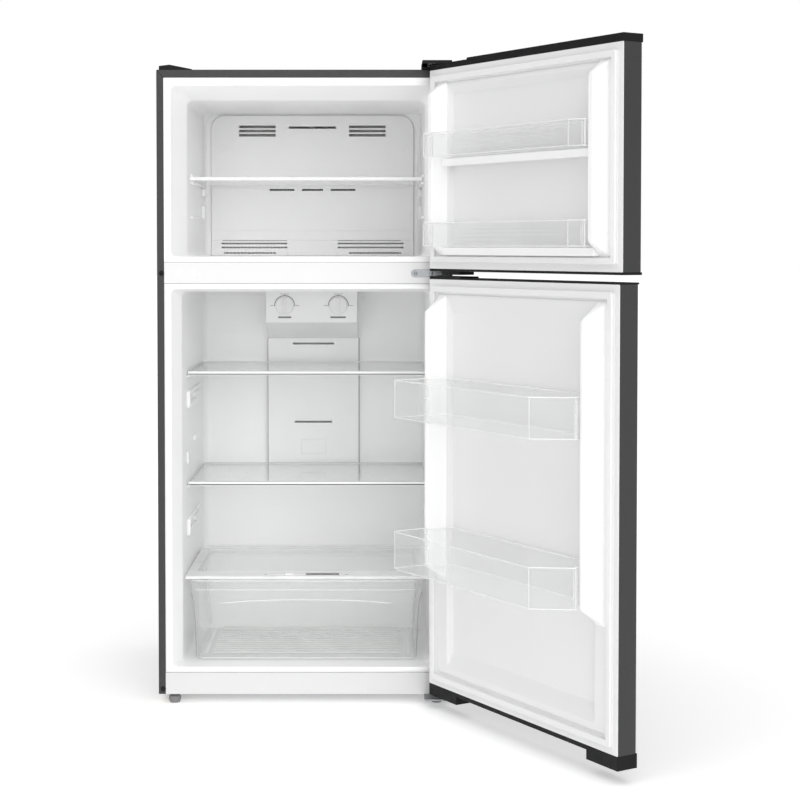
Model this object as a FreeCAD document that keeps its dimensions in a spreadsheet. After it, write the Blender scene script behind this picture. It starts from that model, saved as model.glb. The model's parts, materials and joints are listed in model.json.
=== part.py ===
"""Top freezer refrigerator as a parametric document of separate pieces.

Every piece is drawn with both doors shut, in the cabinet's own coordinates: X to the right, Y to
the back, Z up, with X = 0 on the centre line, Y = 0 on the front flange and Z = 0 on the floor.
Its Placement then moves it to the row's origin and swings the door pieces open about the hinge pins.
"""
import FreeCAD
import Part
import Sketcher
import math
import os
import re

from FreeCAD import Placement, Rotation, Vector

doc = FreeCAD.newDocument("top_freezer_refrigerator")
sheet = doc.addObject("Spreadsheet::Sheet", "sizes")

SIZES = {
    # row origin: under the middle of the refrigerator's box with both doors open
    "origin_x": -179, "origin_y": -17,
    # cabinet
    "half_width": 350, "cabinet_base": 25, "cabinet_top": 1510, "cabinet_back": 640,
    "sheet_steel": 0.8, "side_flange": 17, "top_flange": 19, "back_return": 12,
    "under_return": 51,
    "panel_low": 245, "panel_steel": 0.6,
    "rail_top": 76.7, "rail_depth": 12, "rail_foot": 50, "rail_wall": 2,
    "mullion_low": 1005.3, "mullion_high": 1055.5, "mullion_depth": 10, "mullion_wall": 1.2,
    # cavities: the openings at the flange, and the narrower room behind the flare
    "plastic_sheet": 1.5, "mouth_half": 316,
    "fridge_half": 297, "fridge_mouth_low": 90.5, "fridge_mouth_high": 992, "fridge_ceiling": 985,
    "fridge_flare": 50, "cavity_back": 552, "hump_front": 410, "hump_top": 286,
    "freezer_half": 286, "freezer_floor": 1069, "freezer_mouth_high": 1472,
    "freezer_ceiling": 1443, "freezer_flare": 80,
    "ledge_reach": 8, "ledge_thick": 6, "ledge_front": 150, "ledge_back": 500,
    "foam_base": 48, "bay_front": 457, "bay_ceiling": 240, "pan_steel": 0.8,
    # cold side
    "cover_front": 477, "cover_half": 267, "cover_top": 1438, "cover_wall": 2, "cover_corner": 38,
    "slot_high": 7, "slot_inner": 97, "slot_outer": 193, "slot_top": 1408, "slot_step": 11,
    "centre_slot_half": 62, "lower_slot_z": 1242, "lower_slot_half": 27.6,
    "lower_slot_inner": 48, "lower_slot_outer": 113,
    "louvre_inner": 67, "louvre_outer": 240, "louvre_z": 1090, "louvre_step": 10.5,
    "louvre_low": 1075.5, "louvre_low_inner": 97, "louvre_low_outer": 234,
    "coil_half": 225, "coil_front": 487, "coil_back": 545, "coil_low": 1125, "coil_high": 1325,
    "fan_z": 1385, "fan_y": 505, "fan_hub": 14, "fan_tip": 45, "fan_chord": 9, "fan_pitch": 32, "fan_shaft": 2.5,
    "motor_radius": 24, "motor_front": 524, "motor_back": 551, "running_gap": 0.05,
    # fresh food compartment fittings
    "duct_half": 121, "duct_front": 528, "duct_low": 480, "duct_wall": 2,
    "duct_slot_high": 5, "duct_slot_top": 833, "duct_slot_half": 54.5, "duct_slot_low": 623,
    "housing_half": 118.5, "housing_front": 405, "housing_low": 895, "housing_nose": 848,
    "knob_x": 70, "knob_z": 939, "knob_radius": 23.5, "knob_thick": 9, "knob_bar": 7,
    "knob_shaft": 4, "knob_reach": 16,
    "flap_y": 490, "flap_z": 962, "flap_half": 40, "flap_drop": 36, "flap_thick": 3, "flap_rod": 3,
    "badge_half": 33.5, "badge_high": 38, "badge_z": 558, "badge_thick": 5,
    # shelves
    "shelf_half": 293, "shelf_front": 140, "shelf_back": 520, "glass_thick": 3.2,
    "trim_high": 9.5, "trim_deep": 14, "upper_shelf": 777, "lower_shelf": 505,
    "freezer_shelf_half": 281, "freezer_shelf_front": 75, "freezer_shelf_back": 470,
    "freezer_shelf_low": 1251.5, "freezer_shelf_high": 1260,
    # crisper
    "crisper_half": 292, "crisper_front": 60, "crisper_back": 450, "crisper_low": 289.5,
    "crisper_high": 296, "crisper_border": 69, "crisper_side": 22, "vent_left": -82,
    "vent_right": 79, "vent_front": 78, "vent_back": 92, "slider_long": 79,
    "drawer_half": 284, "drawer_foot": 268, "drawer_back": 398, "drawer_low": 91.5,
    "drawer_high": 286, "drawer_wall": 2.5,
    # hinges and doors
    "pin_x": 328.9, "pin_y": -36.8, "pin_radius": 5, "pin_gap": 0.06,
    "freezer_door_open": 121.86, "fridge_door_open": 121.27,
    "door_inner": -9.9, "door_outer": -61.3, "door_skin": 0.8,
    "freezer_door_low": 1041, "freezer_door_high": 1503.6,
    "fridge_door_low": 61, "fridge_door_high": 1016.5,
    "gasket_thick": 9, "gasket_inset": 15, "gasket_wide": 15,
    "socket_radius": 9, "socket_deep": 11,
    "recess_deep": 14, "post_base": 310, "post_inner": 278,
    "freezer_post_rise": 38, "freezer_post_tip_out": 303, "freezer_post_tip_in": 284,
    "freezer_post_low": 1075, "freezer_post_high": 1471, "freezer_post_bevel": 26,
    "fridge_post_rise": 49, "fridge_post_tip_out": 298, "fridge_post_tip_in": 284,
    "fridge_post_low": 320, "fridge_post_high": 978, "fridge_post_bevel": 34,
    "freezer_recess_low": 1085, "freezer_recess_high": 1460, "freezer_recess_bevel": 15,
    "fridge_recess_low": 115, "fridge_recess_high": 975, "fridge_recess_bevel": 34,
    "recess_half": 274, "recess_draft": 4,
    "freezer_cap_top": 1517, "freezer_cap_crest": 1521, "cap_step": 200, "freezer_cap_low": 1035.4,
    "freezer_cap_heel": 1027.5, "fridge_cap_top": 1020.5, "fridge_cap_crest": 1024,
    "fridge_cap_low": 51, "fridge_cap_heel": 33, "fridge_cap_toe": 31,
    # door bins
    "bin_wall": 2, "bin_lip": 1.5, "freezer_bin_back": -15.5, "fridge_bin_back": -19,
    "bin_back_half": 270,
    "freezer_bin_end": 286, "freezer_bin_free": -285, "freezer_bin_reach": 54,
    "freezer_bin_cut": -253, "freezer_bin_cut_y": 36,
    "freezer_upper_bin": 1296, "freezer_lower_bin": 1092, "freezer_bin_high": 56,
    "fridge_bin_end": 291, "fridge_bin_free": -288, "fridge_bin_reach": 128,
    "fridge_bin_cut": -232, "fridge_bin_cut_y": 52,
    "fridge_upper_bin": 701, "fridge_lower_bin": 354, "fridge_bin_high": 88,
    # hinge brackets and covers
    "plate_thick": 3, "mid_plate_thick": 2.2, "top_plate_z": 1518.4, "top_hinge_left": 290, "top_hinge_back": 55,
    "top_cover_left": 277, "top_cover_right": 346, "top_cover_high": 1526, "cover_skin": 1.2,
    "arm_low": 1026, "arm_high": 1030, "arm_left": 312, "arm_right": 341, "arm_front": -48,
    "mid_plate_left": 251.7, "mid_plate_low": 1020.6, "mid_plate_high": 1038.2,
    "foot_plate_low": 20.8, "foot_plate_high": 24.8, "bottom_hinge_left": 283,
    "foot_x": 314, "foot_y": 25, "foot_radius": 14.8, "foot_neck": 12, "foot_high": 17,
    "stud_radius": 4, "stud_top": 44,
    # machine compartment
    "plate_low": 30, "plate_high": 32, "plate_half": 297, "roller_x": 262, "roller_y": 590,
    "roller_radius": 14, "roller_wide": 16, "axle_radius": 3, "ear_thick": 2.5,
    "compressor_x": -110, "compressor_y": 548, "compressor_radius": 66, "compressor_low": 52,
    "compressor_high": 200, "mount_x": 88, "mount_y": 62, "grommet_radius": 10,
    "tray_half": 120, "tray_front": 468, "tray_back": 626, "tray_low": 208, "tray_high": 233,
    "tray_wall": 2, "relay_wide": 30, "gland_x": 255, "gland_z": 275, "gland_radius": 12,
    "spacer_x": 265, "spacer_z": 1400, "spacer_deep": 22, "spacer_wide": 30, "spacer_high": 44,
    "screw_radius": 4.5, "screw_high": 2.4,
}

PIECES = {}


def fill_sheet():
    """Write each driving dimension as a text cell with its name as the alias."""
    for row, (name, value) in enumerate(SIZES.items(), start=1):
        sheet.set(f"A{row}", name)
        sheet.set(f"B{row}", str(value))
        sheet.setAlias(f"B{row}", name)
    doc.recompute()


def expression(text):
    """Point every size named in the text at its cell; a size's name holds an underscore."""
    return re.sub(r"\b[a-z]+_\w+", r"sizes.\g<0>", str(text))


def bind(thing, **properties):
    """Bind properties to expressions; a double underscore stands for the dot in a property path."""
    for name, text in properties.items():
        thing.setExpression(name.replace("__", "."), expression(text))


def span(pair):
    return f"({pair[1]}) - ({pair[0]})"


def size(name):
    return SIZES[name]


class Piece:
    """One sub-part: a PartDesign body whose features take (low, high) expressions along X, Y and Z."""

    def __init__(self, name, swing=None, centre=(0, 0, 0), turn=None):
        self.name = name
        self.body = doc.addObject("PartDesign::Body", name)
        self.body.Label = name
        self.body.AllowCompound = True
        self.count = 0
        self._place(swing, centre, turn)
        PIECES[name] = self.body

    def _place(self, swing, centre, turn):
        """Shift the piece to the row's origin, swung about the hinge pins if it is on a door."""
        if swing is None:
            axis, angle = turn or ((0, 0, 1), 0)
            self.body.Placement = Placement(Vector(0, 0, 0), Rotation(Vector(*axis), angle))
            bind(self.body, Placement__Base__x=f"origin_x + ({centre[0]})",
                 Placement__Base__y=f"origin_y + ({centre[1]})", Placement__Base__z=centre[2])
            return
        cosine = f"cos({swing} * 1 deg)"
        sine = f"sin({swing} * 1 deg)"
        self.body.Placement = Placement(Vector(0, 0, 0), Rotation(Vector(0, 0, 1), size(swing)))
        bind(self.body, Placement__Rotation__Angle=swing,
             Placement__Base__x=f"origin_x + pin_x - pin_x * {cosine} + pin_y * {sine}",
             Placement__Base__y=f"origin_y + pin_y - pin_x * {sine} - pin_y * {cosine}")

    def _feature(self, kind):
        self.count += 1
        return self.body.newObject("PartDesign::" + kind, f"{self.name}_{kind.lower()}_{self.count}")

    def box(self, x, y, z, kind="AdditiveBox"):
        bind(self._feature(kind), Length=span(x), Width=span(y), Height=span(z),
             Placement__Base__x=x[0], Placement__Base__y=y[0], Placement__Base__z=z[0])
        return self

    def cut_box(self, x, y, z):
        return self.box(x, y, z, "SubtractiveBox")

    def wedge(self, y, near, far, kind="AdditiveWedge"):
        """A frustum along Y: near and far are its (x low, x high, z low, z high) ends."""
        bind(self._feature(kind), Ymin=y[0], Ymax=y[1], Xmin=near[0], Xmax=near[1], Zmin=near[2],
             Zmax=near[3], X2min=far[0], X2max=far[1], Z2min=far[2], Z2max=far[3])
        return self

    def cut_wedge(self, y, near, far):
        return self.wedge(y, near, far, "SubtractiveWedge")

    def rod(self, axis, across, along, radius, kind="AdditiveCylinder"):
        """A cylinder along X, Y or Z; across holds its centre in the other two directions."""
        feature = self._feature(kind)
        start = {"X": (along[0], *across), "Y": (across[0], along[0], across[1]),
                 "Z": (*across, along[0])}[axis]
        turn = {"X": Rotation(Vector(0, 1, 0), 90), "Y": Rotation(Vector(1, 0, 0), -90),
                "Z": Rotation()}[axis]
        feature.Placement = Placement(Vector(0, 0, 0), turn)
        bind(feature, Radius=radius, Height=span(along), Placement__Base__x=start[0],
             Placement__Base__y=start[1], Placement__Base__z=start[2])
        return self

    def bore(self, axis, across, along, radius):
        return self.rod(axis, across, along, radius, "SubtractiveCylinder")

    def sketch(self, plane, outline):
        """A closed sketch whose corners are held at (across, up) expressions from the origin."""
        sketch = self.body.newObject("Sketcher::SketchObject", f"{self.name}_sketch_{self.count}")
        origin = [f for f in self.body.Origin.OriginFeatures if f.Role == plane + "_Plane"][0]
        sketch.AttachmentSupport = [(origin, "")]
        sketch.MapMode = "FlatFace"
        corners = [Vector(evaluate(across), evaluate(up), 0) for across, up in outline]
        total = len(corners)
        for i in range(total):
            sketch.addGeometry(Part.LineSegment(corners[i], corners[(i + 1) % total]), False)
        for i in range(total):
            sketch.addConstraint(Sketcher.Constraint("Coincident", i, 2, (i + 1) % total, 1))
        for i, (across, up) in enumerate(outline):
            for letter, text, place in (("X", across, corners[i].x), ("Y", up, corners[i].y)):
                held = Sketcher.Constraint("Distance" + letter, -1, 1, i, 1, place)
                name = f"corner_{letter.lower()}{i}"
                sketch.renameConstraint(sketch.addConstraint(held), name)
                sketch.setExpression("Constraints." + name, expression(text))
        return sketch

    def pad(self, plane, outline, low, high):
        """Raise an outline from low to high along X, Y or Z, whichever its plane is square to."""
        profile = self.sketch(plane, outline)
        backwards = plane == "XZ"
        bind(profile, AttachmentOffset__Base__z=f"-({low})" if backwards else low)
        feature = self._feature("Pad")
        feature.Profile = profile
        feature.Reversed = backwards
        bind(feature, Length=span((low, high)))
        return self

    def repeat(self, count):
        """Repeat the last feature evenly about the body's own Y axis."""
        last = self.body.Tip
        feature = self._feature("PolarPattern")
        feature.Originals = [last]
        feature.Axis = ([f for f in self.body.Origin.OriginFeatures if f.Role == "Y_Axis"][0], [""])
        feature.Angle = 360
        feature.Occurrences = count
        self.body.Tip = feature
        return self

    def revolve(self, outline):
        """Turn an (X, Z) outline about the body's own Z axis."""
        profile = self.sketch("XZ", outline)
        feature = self._feature("Revolution")
        feature.Profile = profile
        feature.ReferenceAxis = (profile, ["V_Axis"])
        feature.Angle = 360
        return self

    def shell(self, normal, wall):
        """Hollow the piece, leaving it open on the flat face furthest along the normal."""
        doc.recompute()
        base = self.body.Tip
        direction = Vector(*normal)
        reach = {}
        for i, face in enumerate(base.Shape.Faces, start=1):
            if is_flat(face, direction):
                reach[f"Face{i}"] = face.CenterOfMass.dot(direction)
        feature = self._feature("Thickness")
        feature.Base = (base, [max(reach, key=reach.get)])
        feature.Reversed = True
        feature.Join = 1
        bind(feature, Value=wall)
        return self

    def fillet(self, radius, keep):
        """Round the edges that the keep test picks from the piece drawn so far."""
        return self._dress("Fillet", "Radius", radius, keep)

    def chamfer(self, length, keep):
        return self._dress("Chamfer", "Size", length, keep)

    def _dress(self, kind, field, value, keep):
        doc.recompute()
        base = self.body.Tip
        names = [f"Edge{i}" for i, edge in enumerate(base.Shape.Edges, start=1) if keep(edge)]
        feature = self._feature(kind)
        feature.Base = (base, names)
        bind(feature, **{field: value})
        return self


def evaluate(text):
    """The number that an expression over the sheet gives now."""
    return float(sheet.evalExpression(re.sub(r"\bsizes\.", "", str(text))))


def is_flat(face, direction):
    return face.Surface.TypeId == "Part::GeomPlane" and face.normalAt(0, 0).dot(direction) > 0.99


def along(axis, at=None):
    """An edge test: straight edges along an axis, and near the given coordinates if any."""
    def test(edge):
        if edge.Curve.TypeId != "Part::GeomLine":
            return False
        step = edge.Vertexes[-1].Point - edge.Vertexes[0].Point
        if abs(step[axis]) < 0.99 * step.Length:
            return False
        middle = edge.CenterOfMass
        return all(abs(middle[k] - value) < 0.2 for k, value in (at or {}).items())
    return test


def both(half):
    """The span from minus to plus a half width."""
    return (f"-({half})", half)


def ends(half, low, high):
    """One end of a wedge that is centred on X = 0."""
    return (f"-({half})", half, low, high)


def cabinet_steel():
    shell = Piece("cabinet_shell")
    tall = ("cabinet_base", "cabinet_top")
    for side in (-1, 1):
        outer = f"{side} * half_width"
        inner = f"{side} * (half_width - sheet_steel)"
        flange = f"{side} * (half_width - side_flange)"
        lip = f"{side} * (half_width - back_return)"
        shell.box(ordered(side, inner, outer), (0, "cabinet_back"), tall)
        shell.box(ordered(side, flange, outer), (0, "sheet_steel"), tall)
        shell.box(ordered(side, lip, outer), ("cabinet_back - sheet_steel", "cabinet_back"), tall)
        shell.box(ordered(side, f"{side} * (half_width - under_return)", outer),
                  ("rail_foot + 0.5", "cabinet_back"), ("cabinet_base", "cabinet_base + sheet_steel"))
    shell.box(both("half_width"), (0, "cabinet_back"), ("cabinet_top - sheet_steel", "cabinet_top"))
    shell.box(both("half_width"), (0, "sheet_steel"), ("cabinet_top - top_flange", "cabinet_top"))

    panel = Piece("rear_panel")
    panel.box(both("half_width - 5"), ("cabinet_back", "cabinet_back + panel_steel"),
              ("panel_low", "cabinet_top - 5"))
    panel.bore("Y", ("gland_x", "gland_z"), ("cabinet_back - 1", "cabinet_back + 2"), "gland_radius - 4")

    rail = Piece("front_rail")
    rail.box(both("half_width - side_flange"), (0, "rail_depth"), ("cabinet_base", "rail_top"))
    rail.box(both("half_width - side_flange"), (0, "rail_foot"), ("cabinet_base", "cabinet_base + rail_wall"))
    rail.cut_box(both("half_width - side_flange - rail_wall"), ("rail_wall", "rail_foot + 1"),
                 ("cabinet_base + rail_wall", "rail_top - rail_wall"))
    for side in (-1, 1):
        rail.bore("Z", (f"{side} * foot_x", "foot_y"), ("cabinet_base - 1", "cabinet_base + 4"),
                  "stud_radius + running_gap")

    mullion = Piece("mullion_cover")
    mullion.box(both("half_width - side_flange"), (0, "mullion_depth"), ("mullion_low", "mullion_high"))
    mullion.cut_box(both("half_width - side_flange - mullion_wall"), ("mullion_wall", "mullion_depth + 1"),
                    ("mullion_low + mullion_wall", "mullion_high - mullion_wall"))

    pan = Piece("base_pan")
    wide = both("fridge_half + 1.4")
    riser = ("bay_front + 0.2", "bay_front + 0.2 + pan_steel")
    pan.box(wide, ("rail_depth + 1", riser[1]), ("foam_base - 0.2 - pan_steel", "foam_base - 0.2"))
    pan.box(wide, riser, ("foam_base - 0.2 - pan_steel", "bay_ceiling"))
    pan.box(wide, (riser[0], "cabinet_back - 1"), ("bay_ceiling - pan_steel", "bay_ceiling"))
    for side in (-1, 1):
        pan.box(ordered(side, f"{side} * (fridge_half + 1.4 - pan_steel)", f"{side} * (fridge_half + 1.4)"),
                (riser[0], "cabinet_back - 1"), ("plate_high + 0.5", "bay_ceiling"))


def ordered(side, inner, outer):
    """A span between two distances from the centre line, low end first on either side."""
    return (inner, outer) if side > 0 else (outer, inner)


def liners():
    fridge = Piece("fridge_liner")
    fridge.box(both("half_width - side_flange"), (0, "plastic_sheet"), ("rail_top + 0.2", "mullion_low - 0.2"))
    for grow, carve in (("plastic_sheet", False), (0, True)):
        start = "-1" if carve else "0"
        wedge = fridge.cut_wedge if carve else fridge.wedge
        box = fridge.cut_box if carve else fridge.box
        wedge((0, "fridge_flare"),
              ends(f"mouth_half + {grow}", f"fridge_mouth_low - {grow}", f"fridge_mouth_high + {grow}"),
              ends(f"fridge_half + {grow}", f"fridge_mouth_low - {grow}", f"fridge_ceiling + {grow}"))
        box(both(f"fridge_half + {grow}"), (f"fridge_flare + {start}", f"hump_front + {grow}"),
            (f"fridge_mouth_low - {grow}", f"fridge_ceiling + {grow}"))
        box(both(f"fridge_half + {grow}"), ("fridge_flare + 1", f"cavity_back + {grow}"),
            (f"hump_top - {grow}", f"fridge_ceiling + {grow}"))
    for level in ("upper_shelf", "lower_shelf", "crisper_low"):
        ledges(fridge, "fridge_half", level, "ledge_back" if level != "crisper_low" else "hump_front")

    freezer = Piece("freezer_liner")
    freezer.box(both("half_width - side_flange"), (0, "plastic_sheet"),
                ("mullion_high + 0.2", "cabinet_top - top_flange - 0.2"))
    for grow, carve in (("plastic_sheet", False), (0, True)):
        start = "-1" if carve else "0"
        wedge = freezer.cut_wedge if carve else freezer.wedge
        box = freezer.cut_box if carve else freezer.box
        wedge((0, "freezer_flare"),
              ends(f"mouth_half + {grow}", f"freezer_floor - {grow}", f"freezer_mouth_high + {grow}"),
              ends(f"freezer_half + {grow}", f"freezer_floor - {grow}", f"freezer_ceiling + {grow}"))
        box(both(f"freezer_half + {grow}"), (f"freezer_flare + {start}", f"cavity_back + {grow}"),
            (f"freezer_floor - {grow}", f"freezer_ceiling + {grow}"))
    ledges(freezer, "freezer_half", "freezer_shelf_low", "freezer_shelf_back")


def ledges(liner, half, level, back):
    """The ribs on both side walls that a shelf lies on."""
    for side in (-1, 1):
        liner.box(ordered(side, f"{side} * ({half} - ledge_reach)", f"{side} * ({half} + 0.5)"),
                  ("ledge_front", back), (f"{level} - ledge_thick - 0.3", f"{level} - 0.3"))


def insulation():
    """Foam walls, cut apart at the cabinet's corners so that each is a simple shape of its own."""
    foam = Piece("cabinet_foam")
    back = "cabinet_back - sheet_steel - 0.2"
    skin = "half_width - sheet_steel"
    split = "(mullion_low + mullion_high) / 2"
    front = "plastic_sheet + 0.2"
    walls = (("fridge_half", "fridge_flare", "cabinet_base + 2", f"{split} - 0.1"),
             ("freezer_half", "freezer_flare", f"{split} + 0.1", "freezer_ceiling + 1.6"))
    for half, flare, low, high in walls:
        for side in (-1, 1):
            corners = [(skin, front), ("mouth_half + 1.7", front), (f"{half} + 1.7", flare),
                       (f"{half} + 1.7", back), (skin, back)]
            foam.pad("XY", [(f"{side} * ({x})", y) for x, y in corners], low, high)
    roof = "cabinet_top - sheet_steel - 0.2"
    foam.pad("YZ", [(front, roof), (front, "freezer_mouth_high + 1.9"),
                    ("freezer_flare", "freezer_ceiling + 1.9"), (back, "freezer_ceiling + 1.9"),
                    (back, roof)], "-(half_width - 1)", "half_width - 1")
    foam.box(both("freezer_half + 1.4"), ("cavity_back + 1.7", back), ("hump_top - 1.3", "freezer_ceiling + 1.6"))
    foam.box(both("fridge_half + 1.4"), (2, "hump_front + 1.4"), ("foam_base", "fridge_mouth_low - 1.7"))
    foam.box(both("fridge_half + 1.4"), ("hump_front + 1.7", "bay_front"), ("foam_base", "bay_ceiling"))
    foam.box(both("fridge_half + 1.4"), ("hump_front + 1.7", back), ("bay_ceiling + 0.2", "hump_top - 1.7"))
    foam.bore("Y", ("gland_x", "gland_z"), ("cabinet_back - 14", "cabinet_back"), "gland_radius - 3")
    between = both("half_width - side_flange + 0.2")
    foam.cut_box(between, (0, "rail_depth + 0.2"), ("cabinet_base", "rail_top + 0.2"))
    foam.cut_box(between, (0, "mullion_depth + 0.2"), ("mullion_low - 0.2", "mullion_high + 0.2"))
    for side in (-1, 1):
        foam.bore("Z", (f"{side} * foot_x", "foot_y"), ("cabinet_base + 1", "stud_top + 2"),
                  "stud_radius + 1.5")

    divider = Piece("divider_foam")
    low = "fridge_ceiling + 1.7"
    high = "freezer_floor - 1.7"
    face = "mullion_depth + 0.2"
    divider.pad("YZ", [(face, high), (face, "fridge_mouth_high + 1.7"), ("fridge_flare", low),
                       ("cavity_back", low), ("cavity_back", high)],
                "-(freezer_half + 1.4)", "freezer_half + 1.4")


def cold_side():
    cover = Piece("evaporator_cover")
    cover.box(both("cover_half"), ("cover_front", "cavity_back - 0.2"), ("freezer_floor + 0.2", "cover_top"))
    upper = {2: size("cover_top")}
    cover.fillet("cover_corner", along(1, upper))
    cover.shell((0, 1, 0), "cover_wall")
    front = ("cover_front - 1", "cover_front + cover_wall + 1")
    for i in range(3):
        for side in (-1, 1):
            cover.cut_box(ordered(side, f"{side} * slot_inner", f"{side} * slot_outer"), front,
                          slot(f"slot_top - {i} * slot_step", "slot_high"))
    louvres = (("louvre_low", "louvre_low_inner", "louvre_low_outer"),
               ("louvre_z", "louvre_inner", "louvre_outer"),
               ("louvre_z + louvre_step", "louvre_inner", "louvre_outer"))
    for level, inner, outer in louvres:
        for side in (-1, 1):
            cover.cut_box(ordered(side, f"{side} * {inner}", f"{side} * {outer}"), front,
                          slot(level, "slot_high - 3"))
    cover.cut_box(both("centre_slot_half"), front, slot("slot_top - 2", "slot_high - 1"))
    cover.cut_box(both("lower_slot_half"), front, slot("lower_slot_z", "slot_high - 2"))
    for side in (-1, 1):
        cover.cut_box(ordered(side, f"{side} * lower_slot_inner", f"{side} * lower_slot_outer"), front,
                      slot("lower_slot_z", "slot_high - 2"))

    coil = Piece("evaporator_coil")
    coil.box(both("coil_half"), ("coil_front", "coil_back"), ("coil_low", "coil_high"))
    for i in range(5):
        height = f"coil_low + 20 + {i} * (coil_high - coil_low - 40) / 4"
        coil.rod("X", ("(coil_front + coil_back) / 2", height), both("coil_half + 18"), 4)

    motor = Piece("fan_motor")
    motor.rod("Y", (0, "fan_z"), ("motor_front", "motor_back"), "motor_radius")
    motor.bore("Y", (0, "fan_z"), ("motor_front - 1", "motor_front + 16"), "fan_shaft + running_gap")

    fan = Piece("evaporator_fan", centre=(0, "fan_y", "fan_z"))
    fan.rod("Y", (0, 0), (-6, 14), "fan_hub")
    fan.rod("Y", (0, 0), (13, 33), "fan_shaft")
    fan.box(both("fan_chord"), (-1, 1), ("fan_hub - 3", "fan_tip"))
    fan.body.Tip.Placement.Rotation = Rotation(Vector(0, 0, 1), size("fan_pitch"))
    bind(fan.body.Tip, Placement__Base__x="-fan_chord * cos(fan_pitch * 1 deg)",
         Placement__Base__y="-fan_chord * sin(fan_pitch * 1 deg)")
    fan.repeat(5)


def slot(middle, high):
    return (f"{middle} - ({high}) / 2", f"{middle} + ({high}) / 2")


def air_duct_and_controls():
    duct = Piece("duct_cover")
    duct.box(both("duct_half"), ("duct_front", "cavity_back - 0.2"), ("duct_low", "housing_nose - 0.2"))
    duct.cut_box(both("duct_half - duct_wall"), ("duct_front + duct_wall", "cavity_back + 1"),
                 ("duct_low + duct_wall", "housing_nose + 1"))
    front = ("duct_front - 1", "duct_front + duct_wall + 1")
    for level, half in (("duct_slot_top", "duct_slot_half"), ("duct_slot_low", "duct_slot_half - 5")):
        duct.cut_box(both(half), front, slot(level, "duct_slot_high"))

    badge = Piece("deodoriser_cover")
    badge.box(both("badge_half"), ("duct_front - badge_thick", "duct_front"), slot("badge_z", "badge_high"))
    badge.fillet(4, along(1))
    badge.fillet(1.5, lambda edge: abs(edge.BoundBox.YMax - edge.BoundBox.YMin) < 0.01
                 and edge.BoundBox.YMin < size("duct_front") - 1)

    housing = Piece("control_housing")
    top = "fridge_ceiling - 0.2"
    housing.pad("YZ", [("housing_front", top), ("housing_front", "housing_low"),
                       ("duct_front", "housing_nose"), ("cavity_back - 0.2", "housing_nose"),
                       ("cavity_back - 0.2", top)], "-housing_half", "housing_half")
    housing.cut_box(both("housing_half - 2"), ("housing_front + 2", "cavity_back - 3"),
                    ("housing_low + 2", f"{top} - 2"))
    for side in (-1, 1):
        housing.bore("Y", (f"{side} * knob_x", "knob_z"), ("housing_front - 1", "housing_front + 3"),
                     "knob_shaft + running_gap")
        housing.box(ordered(side, f"{side} * (flap_half + 1)", f"{side} * (flap_half + 4)"),
                    ("flap_y - 6", "flap_y + 6"), ("flap_z - 7", f"{top} - 1"))
        housing.bore("X", ("flap_y", "flap_z"),
                     ordered(side, f"{side} * (flap_half + 0.5)", f"{side} * (flap_half + 4.5)"),
                     "flap_rod + running_gap")

    flap = Piece("damper_flap", centre=(0, "flap_y", "flap_z"))
    flap.rod("X", (0, 0), both("flap_half + 4"), "flap_rod")
    flap.box(both("flap_half - 2"), both("flap_thick / 2"), ("-flap_drop", 0))

    for name, side in (("freezer_knob", -1), ("fridge_knob", 1)):
        knob = Piece(name, centre=(f"{side} * knob_x", "housing_front - 0.5", "knob_z"))
        knob.rod("Y", (0, 0), ("-knob_thick + 3", 0), "knob_radius")
        knob.box(both("knob_bar / 2"), ("-knob_thick", "-1"), both("knob_radius - 1.5"))
        knob.rod("Y", (0, 0), ("-1", "knob_reach"), "knob_shaft")


def shelves():
    for name in ("upper_shelf", "lower_shelf"):
        high = f"{name} + trim_high - 1.5"
        glass_z = (f"{high} - glass_thick", high)
        glass_y = ("shelf_front + trim_deep - 8", "shelf_back - trim_deep + 8")
        glass = Piece(name + "_glass")
        glass.box(both("shelf_half - 0.5"), glass_y, glass_z)
        trim = Piece(name + "_trim")
        trim.box(both("shelf_half"), ("shelf_front", "shelf_front + trim_deep"), (name, f"{name} + trim_high"))
        trim.box(both("shelf_half"), ("shelf_back - trim_deep", "shelf_back"), (name, f"{name} + trim_high"))
        trim.cut_box(both("shelf_half + 1"), glass_y, glass_z)

    shelf = Piece("freezer_shelf")
    shelf.box(both("freezer_shelf_half"), ("freezer_shelf_front", "freezer_shelf_back"),
              ("freezer_shelf_low", "freezer_shelf_high"))
    shelf.cut_box(both("freezer_shelf_half - 12"), ("freezer_shelf_front + 9", "freezer_shelf_back - 12"),
                  ("freezer_shelf_low - 1", "freezer_shelf_high - 3.5"))


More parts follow.
